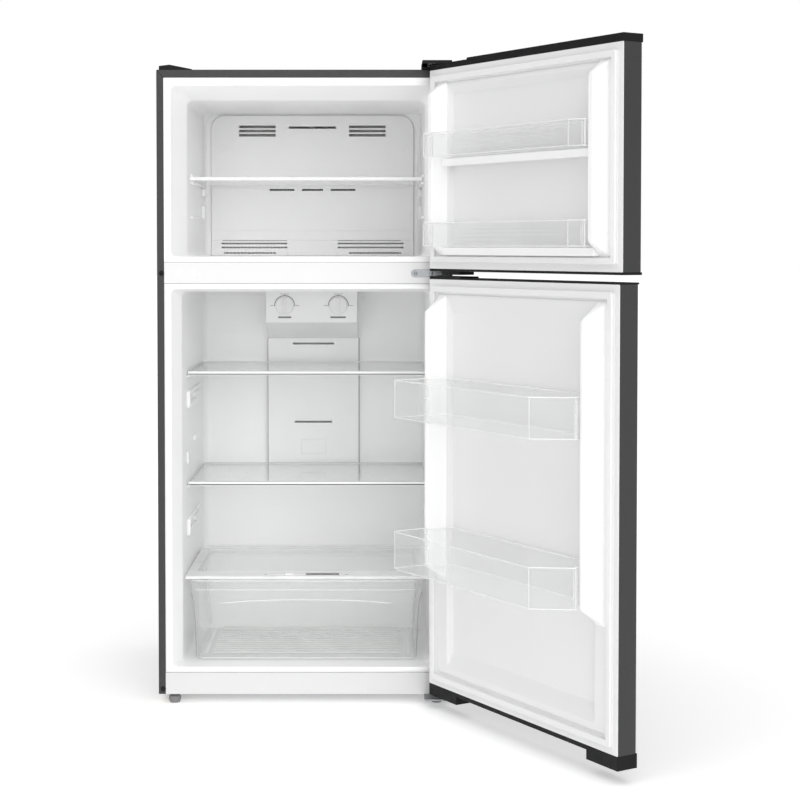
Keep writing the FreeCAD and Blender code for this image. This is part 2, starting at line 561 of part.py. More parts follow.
def crisper():
    frame = Piece("crisper_cover_frame")
    frame.box(both("crisper_half"), ("crisper_front", "crisper_back"), ("crisper_low", "crisper_high"))
    border = "crisper_front + crisper_border"
    frame.cut_box(both("crisper_half - crisper_side"), (border, "crisper_back - 10"),
                  ("crisper_low + 1.5", "crisper_high + 1"))
    frame.cut_box(both("crisper_half - crisper_side - 8"), (f"{border} + 8", "crisper_back - 18"),
                  ("crisper_low - 1", "crisper_high + 1"))
    frame.cut_box(("vent_left", "vent_right"), ("vent_front", "vent_back"),
                  ("crisper_low - 1", "crisper_high + 1"))

    glass = Piece("crisper_cover_glass")
    glass.box(both("crisper_half - crisper_side - 0.2"), (f"{border} + 0.2", "crisper_back - 10.2"),
              ("crisper_low + 1.5", "crisper_high - 0.6"))

    slider = Piece("humidity_slider")
    slider.box(("vent_left + 0.5", "vent_left + 0.5 + slider_long"), ("vent_front + 0.4", "vent_back - 0.4"),
               ("crisper_low + 0.5", "crisper_high - 0.5"))
    slider.box(("vent_left + 30", "vent_left + 50"), ("vent_front + 3", "vent_back - 3"),
               ("crisper_high - 1", "crisper_high + 3"))

    drawer = Piece("crisper_drawer")
    drawer.pad("XZ", [("-drawer_half", "drawer_high"), ("-drawer_foot", "drawer_low"),
                      ("drawer_foot", "drawer_low"), ("drawer_half", "drawer_high")],
               "crisper_front", "drawer_back")
    drawer.shell((0, 0, 1), "drawer_wall")


def door(name, swing):
    """One insulated door: skin, foam, liner with its two posts, gasket and end caps."""
    low = f"{name}_low"
    high = f"{name}_high"
    post = name.replace("door", "post")
    recess = name.replace("door", "recess")
    back = "door_inner - plastic_sheet"

    skin = Piece(name + "_skin", swing)
    skin.box(both("half_width"), ("door_outer", "door_outer + door_skin"), (low, high))
    for side in (-1, 1):
        skin.box(ordered(side, f"{side} * (half_width - door_skin)", f"{side} * half_width"),
                 ("door_outer", back), (low, high))

    def pocket(grow):
        """The two ends of the recess, grown by a wall's thickness."""
        floor = ends(f"recess_half - recess_draft + {grow}", f"{recess}_low + {recess}_bevel - {grow}",
                     f"{recess}_high - {recess}_bevel + {grow}")
        mouth = ends(f"recess_half + {grow}", f"{recess}_low - {grow}", f"{recess}_high + {grow}")
        return floor, mouth

    def post_ends(side, shrink):
        """The base and the tip of one post, shrunk by a wall's thickness."""
        levels = (f"{post}_low + {shrink}", f"{post}_high - {shrink}")
        tips = (f"{post}_low + {post}_bevel + {shrink}", f"{post}_high - {post}_bevel - {shrink}")
        base = ordered(side, f"{side} * (post_inner + {shrink})", f"{side} * (post_base - {shrink})")
        tip = ordered(side, f"{side} * ({post}_tip_in + {shrink})", f"{side} * ({post}_tip_out - {shrink})")
        return (*base, *levels), (*tip, *tips)

    liner = Piece(name + "_liner", swing)
    liner.box(both("half_width"), (back, "door_inner"), (low, high))
    liner.wedge(("door_inner - recess_deep - plastic_sheet", "door_inner"), *pocket("plastic_sheet"))
    liner.cut_wedge(("door_inner - recess_deep", "door_inner"), *pocket(0))
    for side in (-1, 1):
        liner.wedge(("door_inner", f"door_inner + {post}_rise"), *post_ends(side, 0))
        liner.cut_wedge((back, f"door_inner + {post}_rise - plastic_sheet"), *post_ends(side, "plastic_sheet"))

    foam = Piece(name + "_foam", swing)
    foam.box(both("half_width - door_skin"), ("door_outer + door_skin", back), (low, high))
    foam.cut_wedge(("door_inner - recess_deep - plastic_sheet", "door_inner"), *pocket("plastic_sheet"))
    for side in (-1, 1):
        foam.wedge((back, f"door_inner + {post}_rise - plastic_sheet"), *post_ends(side, "plastic_sheet"))
    for edge in ((f"{low} - 1", f"{low} + socket_deep + 3"), (f"{high} - socket_deep - 3", f"{high} + 1")):
        foam.bore("Z", ("pin_x", "pin_y"), edge, "socket_radius")

    gasket = Piece(name + "_gasket", swing)
    face = ("door_inner", "door_inner + gasket_thick")
    gasket.box(both("half_width - gasket_inset"), face, (f"{low} + gasket_inset", f"{high} - gasket_inset"))
    inner = "(gasket_inset + gasket_wide)"
    gasket.cut_box(both(f"half_width - {inner}"), ("door_inner - 1", "door_inner + gasket_thick + 1"),
                   (f"{low} + {inner}", f"{high} - {inner}"))


def door_caps(name, swing, top, bottom, bosses):
    """The plastic end caps; top and bottom are spans in Z, bosses are extra blocks on them."""
    caps = Piece(name + "_end_caps", swing)
    depth = ("door_outer", "door_inner")
    caps.box(both("half_width"), depth, top)
    caps.box(both("half_width"), depth, bottom)
    for x, y, z in bosses:
        caps.box(x, y, z)
    sockets = ((f"{name}_low - 0.1", f"{name}_low + socket_deep"),
               (f"{name}_high - socket_deep", f"{name}_high + 0.1"))
    for z in sockets:
        caps.rod("Z", ("pin_x", "pin_y"), z, "socket_radius")
    caps.bore("Z", ("pin_x", "pin_y"), (f"{bottom[0]} - 30", f"{name}_low + socket_deep + 1"),
              "pin_radius + pin_gap")
    caps.bore("Z", ("pin_x", "pin_y"), (f"{name}_high - socket_deep - 1", f"{top[1]} + 30"),
              "pin_radius + pin_gap")


def doors():
    door("freezer_door", "freezer_door_open")
    door_caps("freezer_door", "freezer_door_open",
              ("freezer_door_high", "freezer_cap_top"), ("freezer_cap_low", "freezer_door_low"),
              [(("-half_width", "cap_step"), ("door_outer", "door_inner"), ("freezer_cap_top - 1", "freezer_cap_crest")),
               (("half_width - 117", "half_width - 44"), ("door_outer + 6", "door_inner - 5"),
                ("freezer_cap_heel", "freezer_cap_low + 1"))])
    door("fridge_door", "fridge_door_open")
    door_caps("fridge_door", "fridge_door_open",
              ("fridge_door_high", "fridge_cap_top"), ("fridge_cap_low", "fridge_door_low"),
              [(("half_width - 129", "half_width"), ("door_outer", "door_inner"),
                ("fridge_cap_top - 1", "fridge_cap_crest")),
               (("half_width - 115", "half_width"), ("door_outer", "door_inner"),
                ("fridge_cap_heel", "fridge_cap_low + 1")),
               (("-half_width", "-half_width + 102"), ("door_outer", "door_inner"),
                ("fridge_cap_toe", "fridge_cap_low + 1"))])


def door_bins():
    shapes = (("freezer", "freezer_door_open", "freezer_post_rise"),
              ("fridge", "fridge_door_open", "fridge_post_rise"))
    for where, swing, rise in shapes:
        shoulder = f"door_inner + {rise} + bin_lip"
        back = f"{where}_bin_back"
        outline = [("bin_back_half", back), ("bin_back_half", shoulder),
                   (f"{where}_bin_end", shoulder), (f"{where}_bin_end", f"{where}_bin_reach"),
                   (f"{where}_bin_cut", f"{where}_bin_reach"), (f"{where}_bin_free", f"{where}_bin_cut_y"),
                   (f"{where}_bin_free", shoulder), ("-bin_back_half", shoulder),
                   ("-bin_back_half", back)]
        for level in ("upper", "lower"):
            low = f"{where}_{level}_bin"
            tub = Piece(low, swing)
            tub.pad("XY", outline, low, f"{low} + {where}_bin_high")
            tub.shell((0, 0, 1), "bin_wall")


def hinges():
    pin = ("pin_x", "pin_y")
    top = Piece("top_hinge")
    plate = ("top_plate_z", "top_plate_z + plate_thick")
    top.box(("top_hinge_left", "half_width - 7"), ("pin_y - 13", "top_hinge_back"), plate)
    top.box(("top_hinge_left", "half_width - 7"), (6, "top_hinge_back"), ("cabinet_top + 0.05", "top_plate_z + 1"))
    top.rod("Z", pin, ("freezer_door_high - socket_deep + 1", "top_plate_z + 1"), "pin_radius")
    top.fillet(8, along(2, {1: size("pin_y") - 13}))

    cover = Piece("top_hinge_cover")
    wide = ("top_cover_left", "top_cover_right")
    inside = ("top_cover_left + cover_skin", "top_cover_right - cover_skin")
    ceiling = "top_cover_high - cover_skin"
    cover.box(wide, ("door_outer + 1", 3), ("freezer_cap_top + 1", "top_cover_high"))
    cover.box(wide, (2, "top_hinge_back + 5"), ("cabinet_top + 0.1", "top_cover_high"))
    cover.cut_box(inside, ("door_outer + 1 + cover_skin", 4), ("freezer_cap_top", ceiling))
    cover.cut_box(inside, (3.5, "top_hinge_back + 5 - cover_skin"), ("cabinet_top", ceiling))

    blank = Piece("hinge_blank_cover")
    blank.pad("XZ", [(x, f"cabinet_top + {z}") for x, z in
                     ((-344, 0.1), (-344, 9), (-319, 12), (-266, 1.5), (-266, 0.1))], 3, 60)

    middle = Piece("middle_hinge")
    middle.box(("mid_plate_left", "arm_right"), ("-mid_plate_thick", 0), ("mid_plate_low", "mid_plate_high"))
    middle.fillet(8.7, along(1, {0: size("mid_plate_left")}))
    middle.box(("arm_left", "arm_right"), ("arm_front", "-1"), ("arm_low", "arm_high"))
    middle.fillet(11, along(2, {1: size("arm_front")}))
    middle.rod("Z", pin, ("fridge_door_high - socket_deep + 1", "freezer_door_low + socket_deep - 1"), "pin_radius")

    bottom = Piece("bottom_hinge")
    bottom.box(("bottom_hinge_left", "half_width - 5"), ("pin_y - 13", 80), ("foot_plate_low", "foot_plate_high"))
    bottom.fillet(9, along(2, {1: size("pin_y") - 13}))
    bottom.rod("Z", pin, ("foot_plate_low + 1", "fridge_door_low + socket_deep - 1"), "pin_radius")
    bottom.bore("Z", ("foot_x", "foot_y"), ("foot_plate_low - 1", "foot_plate_high + 1"),
                "stud_radius + running_gap")


def feet_and_rollers():
    profile = [(0, 0), ("foot_neck", 0), ("foot_radius", 7), ("foot_radius", "foot_high - 2"),
               ("foot_neck", "foot_high"), ("stud_radius", "foot_high"), ("stud_radius", "stud_top"),
               (0, "stud_top")]
    for name, side in (("left_foot", -1), ("right_foot", 1)):
        Piece(name, centre=(f"{side} * foot_x", "foot_y", 0)).revolve(profile)

    for name, side in (("left_roller", -1), ("right_roller", 1)):
        roller = Piece(name, centre=(f"{side} * roller_x", "roller_y", "roller_radius"))
        roller.rod("X", (0, 0), both("roller_wide / 2"), "roller_radius")
        roller.chamfer(1.5, lambda edge: edge.Curve.TypeId == "Part::GeomCircle")
        roller.bore("X", (0, 0), both("roller_wide"), "axle_radius + running_gap")


def machine_compartment():
    plate = Piece("compressor_plate")
    plate.box(both("plate_half"), ("bay_front + 2", "cabinet_back - 1"), ("plate_low", "plate_high"))
    for side in (-1, 1):
        for ear in (-1, 1):
            inner = f"{side} * roller_x + {ear} * (roller_wide / 2 + 0.5)"
            outer = f"{side} * roller_x + {ear} * (roller_wide / 2 + 0.5 + ear_thick)"
            plate.box(ordered(ear, inner, outer), ("roller_y - 14", "roller_y + 14"),
                      ("roller_radius - 7", "plate_low + 1"))
        reach = "(roller_wide / 2 + 4)"
        plate.rod("X", ("roller_y", "roller_radius"),
                  (f"{side} * roller_x - {reach}", f"{side} * roller_x + {reach}"), "axle_radius")

    can = Piece("compressor", centre=("compressor_x", "compressor_y", 0))
    can.revolve([(0, "compressor_low"), ("compressor_radius - 14", "compressor_low"),
                 ("compressor_radius - 4", "compressor_low + 8"), ("compressor_radius", "compressor_low + 24"),
                 ("compressor_radius", "compressor_high - 34"), ("compressor_radius - 8", "compressor_high - 14"),
                 ("compressor_radius - 26", "compressor_high - 3"), (0, "compressor_high")])
    can.box(both("mount_x + 14"), both("mount_y + 12"), ("plate_high + 14", "compressor_low + 1"))
    for x in (-1, 1):
        for y in (-1, 1):
            can.bore("Z", (f"{x} * mount_x", f"{y} * mount_y"), ("plate_high", "compressor_low + 2"),
                     "grommet_radius - 3")

    grommets = Piece("compressor_grommets", centre=("compressor_x", "compressor_y", 0))
    for x in (-1, 1):
        for y in (-1, 1):
            spot = (f"{x} * mount_x", f"{y} * mount_y")
            grommets.rod("Z", spot, ("plate_high", "plate_high + 14"), "grommet_radius")
            grommets.rod("Z", spot, ("plate_high + 13", "compressor_low + 4"), "grommet_radius - 3")

    relay = Piece("start_relay_box", centre=("compressor_x + compressor_radius", "compressor_y", 0))
    relay.box((0.3, "relay_wide"), (-24, 24), (105, 150))
    relay.fillet(3, along(2))

    tray = Piece("evaporating_tray", centre=("compressor_x", 0, 0))
    tray.box(both("tray_half"), ("tray_front", "tray_back"), ("tray_low", "tray_high"))
    tray.fillet(12, along(2))
    tray.shell((0, 0, 1), "tray_wall")

    gland = Piece("cord_gland")
    spot = ("gland_x", "gland_z")
    gland.rod("Y", spot, ("cabinet_back + panel_steel", "cabinet_back + 7"), "gland_radius")
    gland.rod("Y", spot, ("cabinet_back - 10", "cabinet_back + 1"), "gland_radius - 4.2")
    gland.bore("Y", spot, ("cabinet_back - 12", "cabinet_back + 9"), "gland_radius - 8")

    spacers = Piece("rear_spacers")
    for side in (-1, 1):
        middle = f"{side} * spacer_x"
        spacers.box((f"{middle} - spacer_wide / 2", f"{middle} + spacer_wide / 2"),
                    ("cabinet_back + panel_steel", "cabinet_back + spacer_deep"),
                    ("spacer_z", "spacer_z + spacer_high"))

    screws = Piece("screws")
    back = ("cabinet_back + panel_steel", "cabinet_back + panel_steel + screw_high")
    for x, z in ((-1, 0), (0, 0), (-1, 0.5), (1, 0.5), (-1, 1), (0, 1), (1, 1)):
        height = f"panel_low + 12 + {z} * (cabinet_top - 29 - panel_low)"
        screws.rod("Y", (f"{x} * (half_width - 20)", height), back, "screw_radius")
    for x in ("mid_plate_left + 10.5", "mid_plate_left + 48"):
        screws.rod("Y", (x, "(mid_plate_low + mid_plate_high) / 2"),
                   ("-mid_plate_thick - screw_high", "-mid_plate_thick"), "screw_radius")
    for x, y in ((300, 20), (330, 20), (315, 44)):
        screws.rod("Z", (x, y), ("top_plate_z + plate_thick", "top_plate_z + plate_thick + screw_high"),
                   "screw_radius")
    for x, y in ((296, 8), (296, 64), (334, 64)):
        screws.rod("Z", (x, y), ("foot_plate_low - screw_high", "foot_plate_low"), "screw_radius")


def tube(points, radius, bend):
    """A solid round tube: straight runs through the points, joined by tangent arcs."""
    edges = []
    start = points[0]
    for before, corner, after in zip(points, points[1:], points[2:]):
        inward = (before - corner).normalize()
        outward = (after - corner).normalize()
        half = inward.getAngle(outward) / 2
        reach = bend / math.tan(half)
        middle = (inward + outward).normalize()
        sag = bend / math.sin(half) - bend
        first = corner + inward * reach
        last = corner + outward * reach
        edges.append(Part.LineSegment(start, first).toShape())
        edges.append(Part.Arc(first, corner + middle * sag, last).toShape())
        start = last
    edges.append(Part.LineSegment(start, points[-1]).toShape())
    path = Part.Wire(edges)
    ring = Part.Wire([Part.Circle(points[0], points[1] - points[0], radius).toShape()])
    return path.makePipeShell([ring], True, True)


def refrigerant_tubes():
    """Discharge line with its drier, and suction line, from the compressor up into the foam."""
    x = size("compressor_x")
    y = size("compressor_y")
    front = y - 77
    wall = size("compressor_radius") + 0.6
    ceiling = size("bay_ceiling") - size("pan_steel") - 0.2
    bend = 16
    discharge = [Vector(x + 0.8 * wall, y - 0.6 * wall, 165), Vector(x + 124, front, 165),
                 Vector(x + 124, front, 84), Vector(190, front, 84), Vector(190, front, ceiling)]
    suction = [Vector(x - 0.8 * wall, y + 0.6 * wall, 175), Vector(x - 140, y + 66, 175),
               Vector(x - 140, y + 66, ceiling)]
    lines = [tube(discharge, 3, bend), tube(suction, 4, bend)]
    drier = Part.makeCylinder(9, 80, Vector(190, front, 120))
    piece = doc.addObject("Part::Feature", "refrigerant_tubes")
    piece.Label = "refrigerant_tubes"
    piece.Shape = Part.makeCompound([lines[0].fuse(drier), lines[1]])
    piece.Placement = Placement(Vector(size("origin_x"), size("origin_y"), 0), Rotation())
    PIECES["refrigerant_tubes"] = piece


def check():
    """Stop on any failed feature or any piece that isn't a valid closed shape."""
    doc.recompute()
    for thing in doc.Objects:
        if "Invalid" in thing.State or "Error" in thing.State:
            raise RuntimeError(f"{thing.Name} failed: {thing.State}")
    for name, piece in PIECES.items():
        shape = piece.Shape
        if shape.isNull() or not shape.isValid() or not shape.Solids:
            raise RuntimeError(f"{name} has no valid solid")


def export():
    os.makedirs("parts", exist_ok=True)
    for name, piece in PIECES.items():
        piece.Shape.exportStep(f"parts/{name}.step")
        box = piece.Shape.BoundBox
        print(f"{name}: {len(piece.Shape.Solids)} solids, {piece.Shape.Volume / 1000:.1f} cm3, "
              f"x {box.XMin:.1f}..{box.XMax:.1f}, y {box.YMin:.1f}..{box.YMax:.1f}, "
              f"z {box.ZMin:.1f}..{box.ZMax:.1f}")


fill_sheet()
cabinet_steel()
liners()
insulation()
cold_side()
air_duct_and_controls()
shelves()
crisper()
doors()
door_bins()
hinges()
feet_and_rollers()
machine_compartment()
refrigerant_tubes()
check()
export()
print(len(PIECES), "pieces")
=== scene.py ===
import json
import math

import bmesh
import bpy
from mathutils import Matrix, Vector


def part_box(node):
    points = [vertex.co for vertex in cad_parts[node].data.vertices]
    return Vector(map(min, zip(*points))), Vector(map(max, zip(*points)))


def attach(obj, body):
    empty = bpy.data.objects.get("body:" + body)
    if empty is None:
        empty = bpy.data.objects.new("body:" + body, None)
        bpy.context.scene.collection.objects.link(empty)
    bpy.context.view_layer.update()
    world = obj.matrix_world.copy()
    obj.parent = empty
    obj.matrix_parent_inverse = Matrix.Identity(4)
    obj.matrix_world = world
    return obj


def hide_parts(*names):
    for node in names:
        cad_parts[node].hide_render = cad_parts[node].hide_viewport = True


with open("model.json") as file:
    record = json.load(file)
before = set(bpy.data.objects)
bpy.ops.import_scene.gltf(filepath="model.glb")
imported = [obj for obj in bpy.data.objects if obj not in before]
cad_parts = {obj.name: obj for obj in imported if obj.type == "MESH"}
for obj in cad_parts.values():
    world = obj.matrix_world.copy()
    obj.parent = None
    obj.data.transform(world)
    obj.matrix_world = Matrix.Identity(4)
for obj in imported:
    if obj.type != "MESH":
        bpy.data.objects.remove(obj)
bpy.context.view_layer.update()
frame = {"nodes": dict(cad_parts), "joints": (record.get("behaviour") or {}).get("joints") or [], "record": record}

MM = 0.001
WELD = 1e-6  # metres: closer corners of a CAD mesh are one corner
FLAT = math.radians(0.8)  # facets within this angle of each other are one face
SHEET_STEEL = 0.8
LINER_WALL = 1.4
DOOR_LINER_WALL = 1.2
FREEZER_HALF = 286  # half the width inside each compartment
FRIDGE_HALF = 297
FLANGE_WIDTH = 17
DOOR_PLANE = -9.9  # the flat inner face of a door's liner, door shut
MULLION_MIDDLE = 1029.6
KNOB_ACROSS = 70
KNOB_HEIGHT = 939
RECORD = frame["record"]
NODES = frame["nodes"]
JOINTS = {joint["name"]: joint for joint in frame["joints"]}
BODY_OF = {node: body for body, nodes in RECORD["behaviour"]["bodies"].items() for node in nodes}
SLOT_OF = {part["node"]: part["material_slot"] for part in RECORD["subparts"]}

shell_low, shell_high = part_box("cabinet_shell")
middle = (shell_low.x + shell_high.x) / 2
CABINET = Matrix.Translation((middle, shell_low.y, 0)) @ Matrix.Scale(MM, 4)


def door_place(joint):
    """Where pieces drawn with the door shut go: swung open about the hinge pin."""
    pin = Vector(joint["pos_m"])
    pin.z = 0
    turn = Matrix.Rotation(math.radians(-joint["range_deg"][0]), 4, "Z")
    return Matrix.Translation(pin) @ turn @ Matrix.Translation(-pin) @ CABINET


PLACES = {"freezer_door": door_place(JOINTS["freezer_door_hinge"]),
          "fridge_door": door_place(JOINTS["fridge_door_hinge"])}
for side in ("freezer", "fridge"):
    for level in ("upper", "lower"):
        PLACES[f"{side}_{level}_bin"] = PLACES[side + "_door"]


def place_of(body):
    """The matrix from millimetres, doors shut, to where a body is at rest."""
    return PLACES.get(body, CABINET)


def extent(node):
    """A CAD node's low and high corners in millimetres from the cabinet's front, doors shut."""
    back = place_of(BODY_OF[node]).inverted()
    points = [back @ v.co for v in NODES[node].data.vertices]
    return tuple(Vector([pick(p[k] for p in points) for k in range(3)]) for pick in (min, max))


# ---- materials

def node(tree, kind, **inputs):
    """A shader node with its inputs set or linked."""
    made = tree.nodes.new("ShaderNode" + kind)
    for name, value in inputs.items():
        socket = made.inputs[name.replace("_", " ")]
        if hasattr(value, "is_output"):
            tree.links.new(value, socket)
        else:
            socket.default_value = value
    return made


def noise(tree, scale, detail=2.0, stretch=(1, 1, 1)):
    """Noise fixed to the object, as a 0 to 1 pattern."""
    place = node(tree, "Mapping", Scale=stretch)
    tree.links.new(tree.nodes["Place"].outputs["Object"], place.inputs["Vector"])
    return node(tree, "TexNoise", Vector=place.outputs[0], Scale=scale, Detail=detail).outputs[0]


def spread(tree, value, low, high, start=0.3, end=0.7):
    """Maps a 0 to 1 pattern to a range of numbers."""
    made = node(tree, "MapRange", Value=value)
    for name, number in (("From Min", start), ("From Max", end), ("To Min", low), ("To Max", high)):
        made.inputs[name].default_value = number
    return made.outputs[0]


def blend_colours(tree, value, first, second):
    """A colour between two, by a 0 to 1 pattern."""
    made = tree.nodes.new("ShaderNodeMix")
    made.data_type = "RGBA"
    tree.links.new(value, made.inputs[0])
    made.inputs[6].default_value = (*first, 1)
    made.inputs[7].default_value = (*second, 1)
    return made.outputs[2]


def finish_of(name, colour, rough, metal=0.0, grain=1200, depth=0.04, drift=0.03, stretch=(1, 1, 1),
              shine=0.5, coat=0.0):
    """A moulded, painted or metal surface: colour drift, roughness drift and a fine grain."""
    material = bpy.data.materials.new(name)
    material.use_nodes = True
    tree = material.node_tree
    tree.nodes.new("ShaderNodeTexCoord").name = "Place"
    shader = tree.nodes["Principled BSDF"]
    slow = noise(tree, 9, 3, stretch)
    dark = tuple(c * (1 - drift) for c in colour)
    light = tuple(min(1, c * (1 + drift)) for c in colour)
    tree.links.new(blend_colours(tree, slow, dark, light), shader.inputs["Base Color"])
    fine = noise(tree, grain, 2, stretch)
    tree.links.new(spread(tree, noise(tree, 60, 4, stretch), rough * 0.88, rough * 1.12),
                   shader.inputs["Roughness"])
    bump = node(tree, "Bump", Strength=depth, Distance=0.0004, Height=fine)
    tree.links.new(bump.outputs[0], shader.inputs["Normal"])
    shader.inputs["Metallic"].default_value = metal
    shader.inputs["Specular IOR Level"].default_value = shine
    shader.inputs["Coat Weight"].default_value = coat
    shader.inputs["Coat Roughness"].default_value = 0.15
    return material


def spangled(name):
    """Hot-dip galvanised sheet, with its crystal pattern."""
    material = finish_of(name, (0.56, 0.57, 0.58), 0.42, 1.0, 500, 0.05)
    tree = material.node_tree
    shader = tree.nodes["Principled BSDF"]
    cells = node(tree, "TexVoronoi", Vector=tree.nodes["Place"].outputs["Object"], Scale=110.0)
    bright = node(tree, "SeparateColor", Color=cells.outputs["Color"]).outputs[0]
    tree.links.new(blend_colours(tree, bright, (0.42, 0.43, 0.45), (0.68, 0.69, 0.7)),
                   shader.inputs["Base Color"])
    tree.links.new(spread(tree, bright, 0.3, 0.55, 0, 1), shader.inputs["Roughness"])
    return material


def finned(name):
    """Thin aluminium fins stood side by side, with painted shade: near-black stripes between the fins."""
    material = finish_of(name, (0.5, 0.51, 0.52), 0.35, 1.0)
    tree = material.node_tree
    shader = tree.nodes["Principled BSDF"]
    wave = node(tree, "TexWave", Vector=tree.nodes["Place"].outputs["Object"], Scale=70.0)
    # painted shade: the dark colour stands for the shadow between the fins
    tree.links.new(blend_colours(tree, wave.outputs[0], (0.05, 0.05, 0.055), (0.5, 0.51, 0.52)),
                   shader.inputs["Base Color"])
    bump = node(tree, "Bump", Strength=0.8, Distance=0.002, Height=wave.outputs[0])
    tree.links.new(bump.outputs[0], shader.inputs["Normal"])
    return material


def foamed(name):
    """Rigid polyurethane foam, cream with fine cells."""
    return finish_of(name, (0.78, 0.68, 0.42), 0.9, 0, 400, 0.6, 0.08, shine=0.2)


def see_through(name, tint, haze, edge, rough=0.05, mirror=0.6):
    """Clear moulding or glass: it lets light through head on and mirrors it at a glance."""
    material = bpy.data.materials.new(name)
    material.use_nodes = True
    tree = material.node_tree
    tree.nodes.new("ShaderNodeTexCoord").name = "Place"
    shader = tree.nodes["Principled BSDF"]
    shader.inputs["Base Color"].default_value = (*tint, 1)
    shader.inputs["Metallic"].default_value = mirror
    shader.inputs["Roughness"].default_value = rough
    glance = node(tree, "Math", Value=node(tree, "LayerWeight", Blend=0.5).outputs["Facing"])
    glance.operation = "POWER"
    glance.inputs[1].default_value = 3.0
    cover = node(tree, "MapRange", Value=glance.outputs[0])
    cover.inputs["To Max"].default_value = edge
    cloud = spread(tree, noise(tree, 14, 2), haze * 0.85, haze * 1.15)
    tree.links.new(cloud, cover.inputs["To Min"])
    tree.links.new(cover.outputs[0], shader.inputs["Alpha"])
    bump = node(tree, "Bump", Strength=0.02, Distance=0.0005, Height=noise(tree, 60, 2))
    tree.links.new(bump.outputs[0], shader.inputs["Normal"])
    return material


M = {
    "cabinet_paint": finish_of("charcoal_paint", (0.042, 0.042, 0.043), 0.46, 0.2, 1500, 0.1,
                               0.04, shine=0.4),
    "galvanised_steel": spangled("galvanised_sheet"),
    "zinc_steel": finish_of("zinc_plate", (0.3, 0.31, 0.32), 0.36, 1.0, 700, 0.08),
    # painted light: the liner white is set lighter than the door lining's copy of it, so the cavities look lit
    "white_liner": finish_of("white_liner_plastic", (0.93, 0.93, 0.93), 0.36, 0, 900, 0.05,
                             0.01),
    # painted shade: the white paint is set to a mid grey so the front rail looks shaded
    "white_painted": finish_of("white_paint", (0.67, 0.67, 0.67), 0.4, 0, 1500, 0.06, 0.01),
    "insulation": foamed("cream_foam"),
    "white_plastic": finish_of("white_plastic", (0.88, 0.88, 0.88), 0.4, 0, 1800, 0.05, 0.01),
    "black_plastic": finish_of("black_plastic", (0.007, 0.007, 0.008), 0.55, 0, 1600, 0.15, 0.05,
                               shine=0.2),
    "grey_plastic": finish_of("grey_plastic", (0.2, 0.2, 0.2), 0.5, 0, 1600, 0.12, 0.04),
    "clear_plastic": see_through("clear_plastic", (0.82, 0.83, 0.83), 0.07, 0.4, 0.08, 0.35),
    "shelf_glass": see_through("shelf_glass", (0.9, 0.93, 0.92), 0.07, 0.8, 0.04, 1.0),
    "gasket_rubber": finish_of("white_gasket", (0.82, 0.82, 0.82), 0.55, 0, 1200, 0.06, 0.02,
                               shine=0.3),
    "aluminium_fins": finned("aluminium_fins"),
    "compressor_black": finish_of("black_enamel", (0.012, 0.012, 0.013), 0.28, 0, 500, 0.12, 0.06,
                                  coat=0.4),
    "black_rubber": finish_of("black_rubber", (0.018, 0.018, 0.018), 0.75, 0, 800, 0.3, 0.1,
                              shine=0.3),
    "copper": finish_of("copper", (0.72, 0.36, 0.22), 0.28, 1.0, 300, 0.06, 0.12),
    "knob_plastic": finish_of("knob_plastic", (0.84, 0.84, 0.84), 0.34, 0, 1800, 0.05, 0.01),
}
# painted shade: the door lining is the cabinet liner's white plastic, made darker so the doors look shaded
DOOR_WHITE_SHADED = finish_of("door_liner_plastic_shaded", (0.8, 0.8, 0.8), 0.36, 0, 900, 0.05, 0.01)
# painted shade: a darker copy of the white plastic, for the mullion cover
FRONT_WHITE_SHADED = finish_of("mullion_plastic_shaded", (0.76, 0.76, 0.76), 0.4, 0, 1800, 0.05, 0.01)
PRINT = finish_of("grey_print", (0.16, 0.16, 0.165), 0.5, 0, 900, 0.02)
# painted shadow: a mid grey laid in narrow gaps and under a fold, standing in for the shade there
SEAM_SHADOW = finish_of("seam_shadow", (0.3, 0.3, 0.3), 0.8, 0, 900, 0.02)
GLASS_EDGE = finish_of("ground_glass_edge", (0.22, 0.24, 0.235), 0.35, 0, 900, 0.05)
CLEAR_EDGE = see_through("clear_plastic_edge", (0.97, 0.97, 0.97), 0.62, 0.8, 0.25, 0.0)
CLEAR_RIB = see_through("clear_plastic_rib", (0.96, 0.96, 0.96), 0.4, 0.6, 0.3, 0.0)
# painted shade: an opaque grey for dark lines on clear plastic
GREY_CLEAR_SHADE = finish_of("shaded_clear_edge", (0.3, 0.31, 0.31), 0.4, 0, 900, 0.05)
MILKY = see_through("milky_plastic", (0.93, 0.93, 0.93), 0.72, 0.85, 0.3, 0.0)


# ---- shapes

def arc(across, up, radius, start, sweep, steps):
    """Points round a centre, from a start angle through a sweep, both in degrees."""
    turns = [math.radians(start + sweep * k / steps) for k in range(steps + 1)]
    return [(across + radius * math.cos(a), up + radius * math.sin(a)) for a in turns]


def rectangle(left, right, low, high, radius, steps=6):
    """A rectangle's outline with round corners, anticlockwise."""
    corners = ((right - radius, low + radius, -90), (right - radius, high - radius, 0),
               (left + radius, high - radius, 90), (left + radius, low + radius, 180))
    return [point for across, up, start in corners
            for point in arc(across, up, radius, start, 90, steps)]


def offset(outline, distance):
    """An anticlockwise outline moved inwards by a distance, corner by corner."""
    moved = []
    total = len(outline)
    for i, corner in enumerate(outline):
        here = Vector(corner)
        before = (here - Vector(outline[i - 1])).normalized()
        after = (Vector(outline[(i + 1) % total]) - here).normalized()
        normals = (Vector((-before.y, before.x)), Vector((-after.y, after.x)))
        middle = normals[0] + normals[1]
        moved.append(tuple(here + middle * distance / (1 + normals[0].dot(normals[1]))))
    return moved


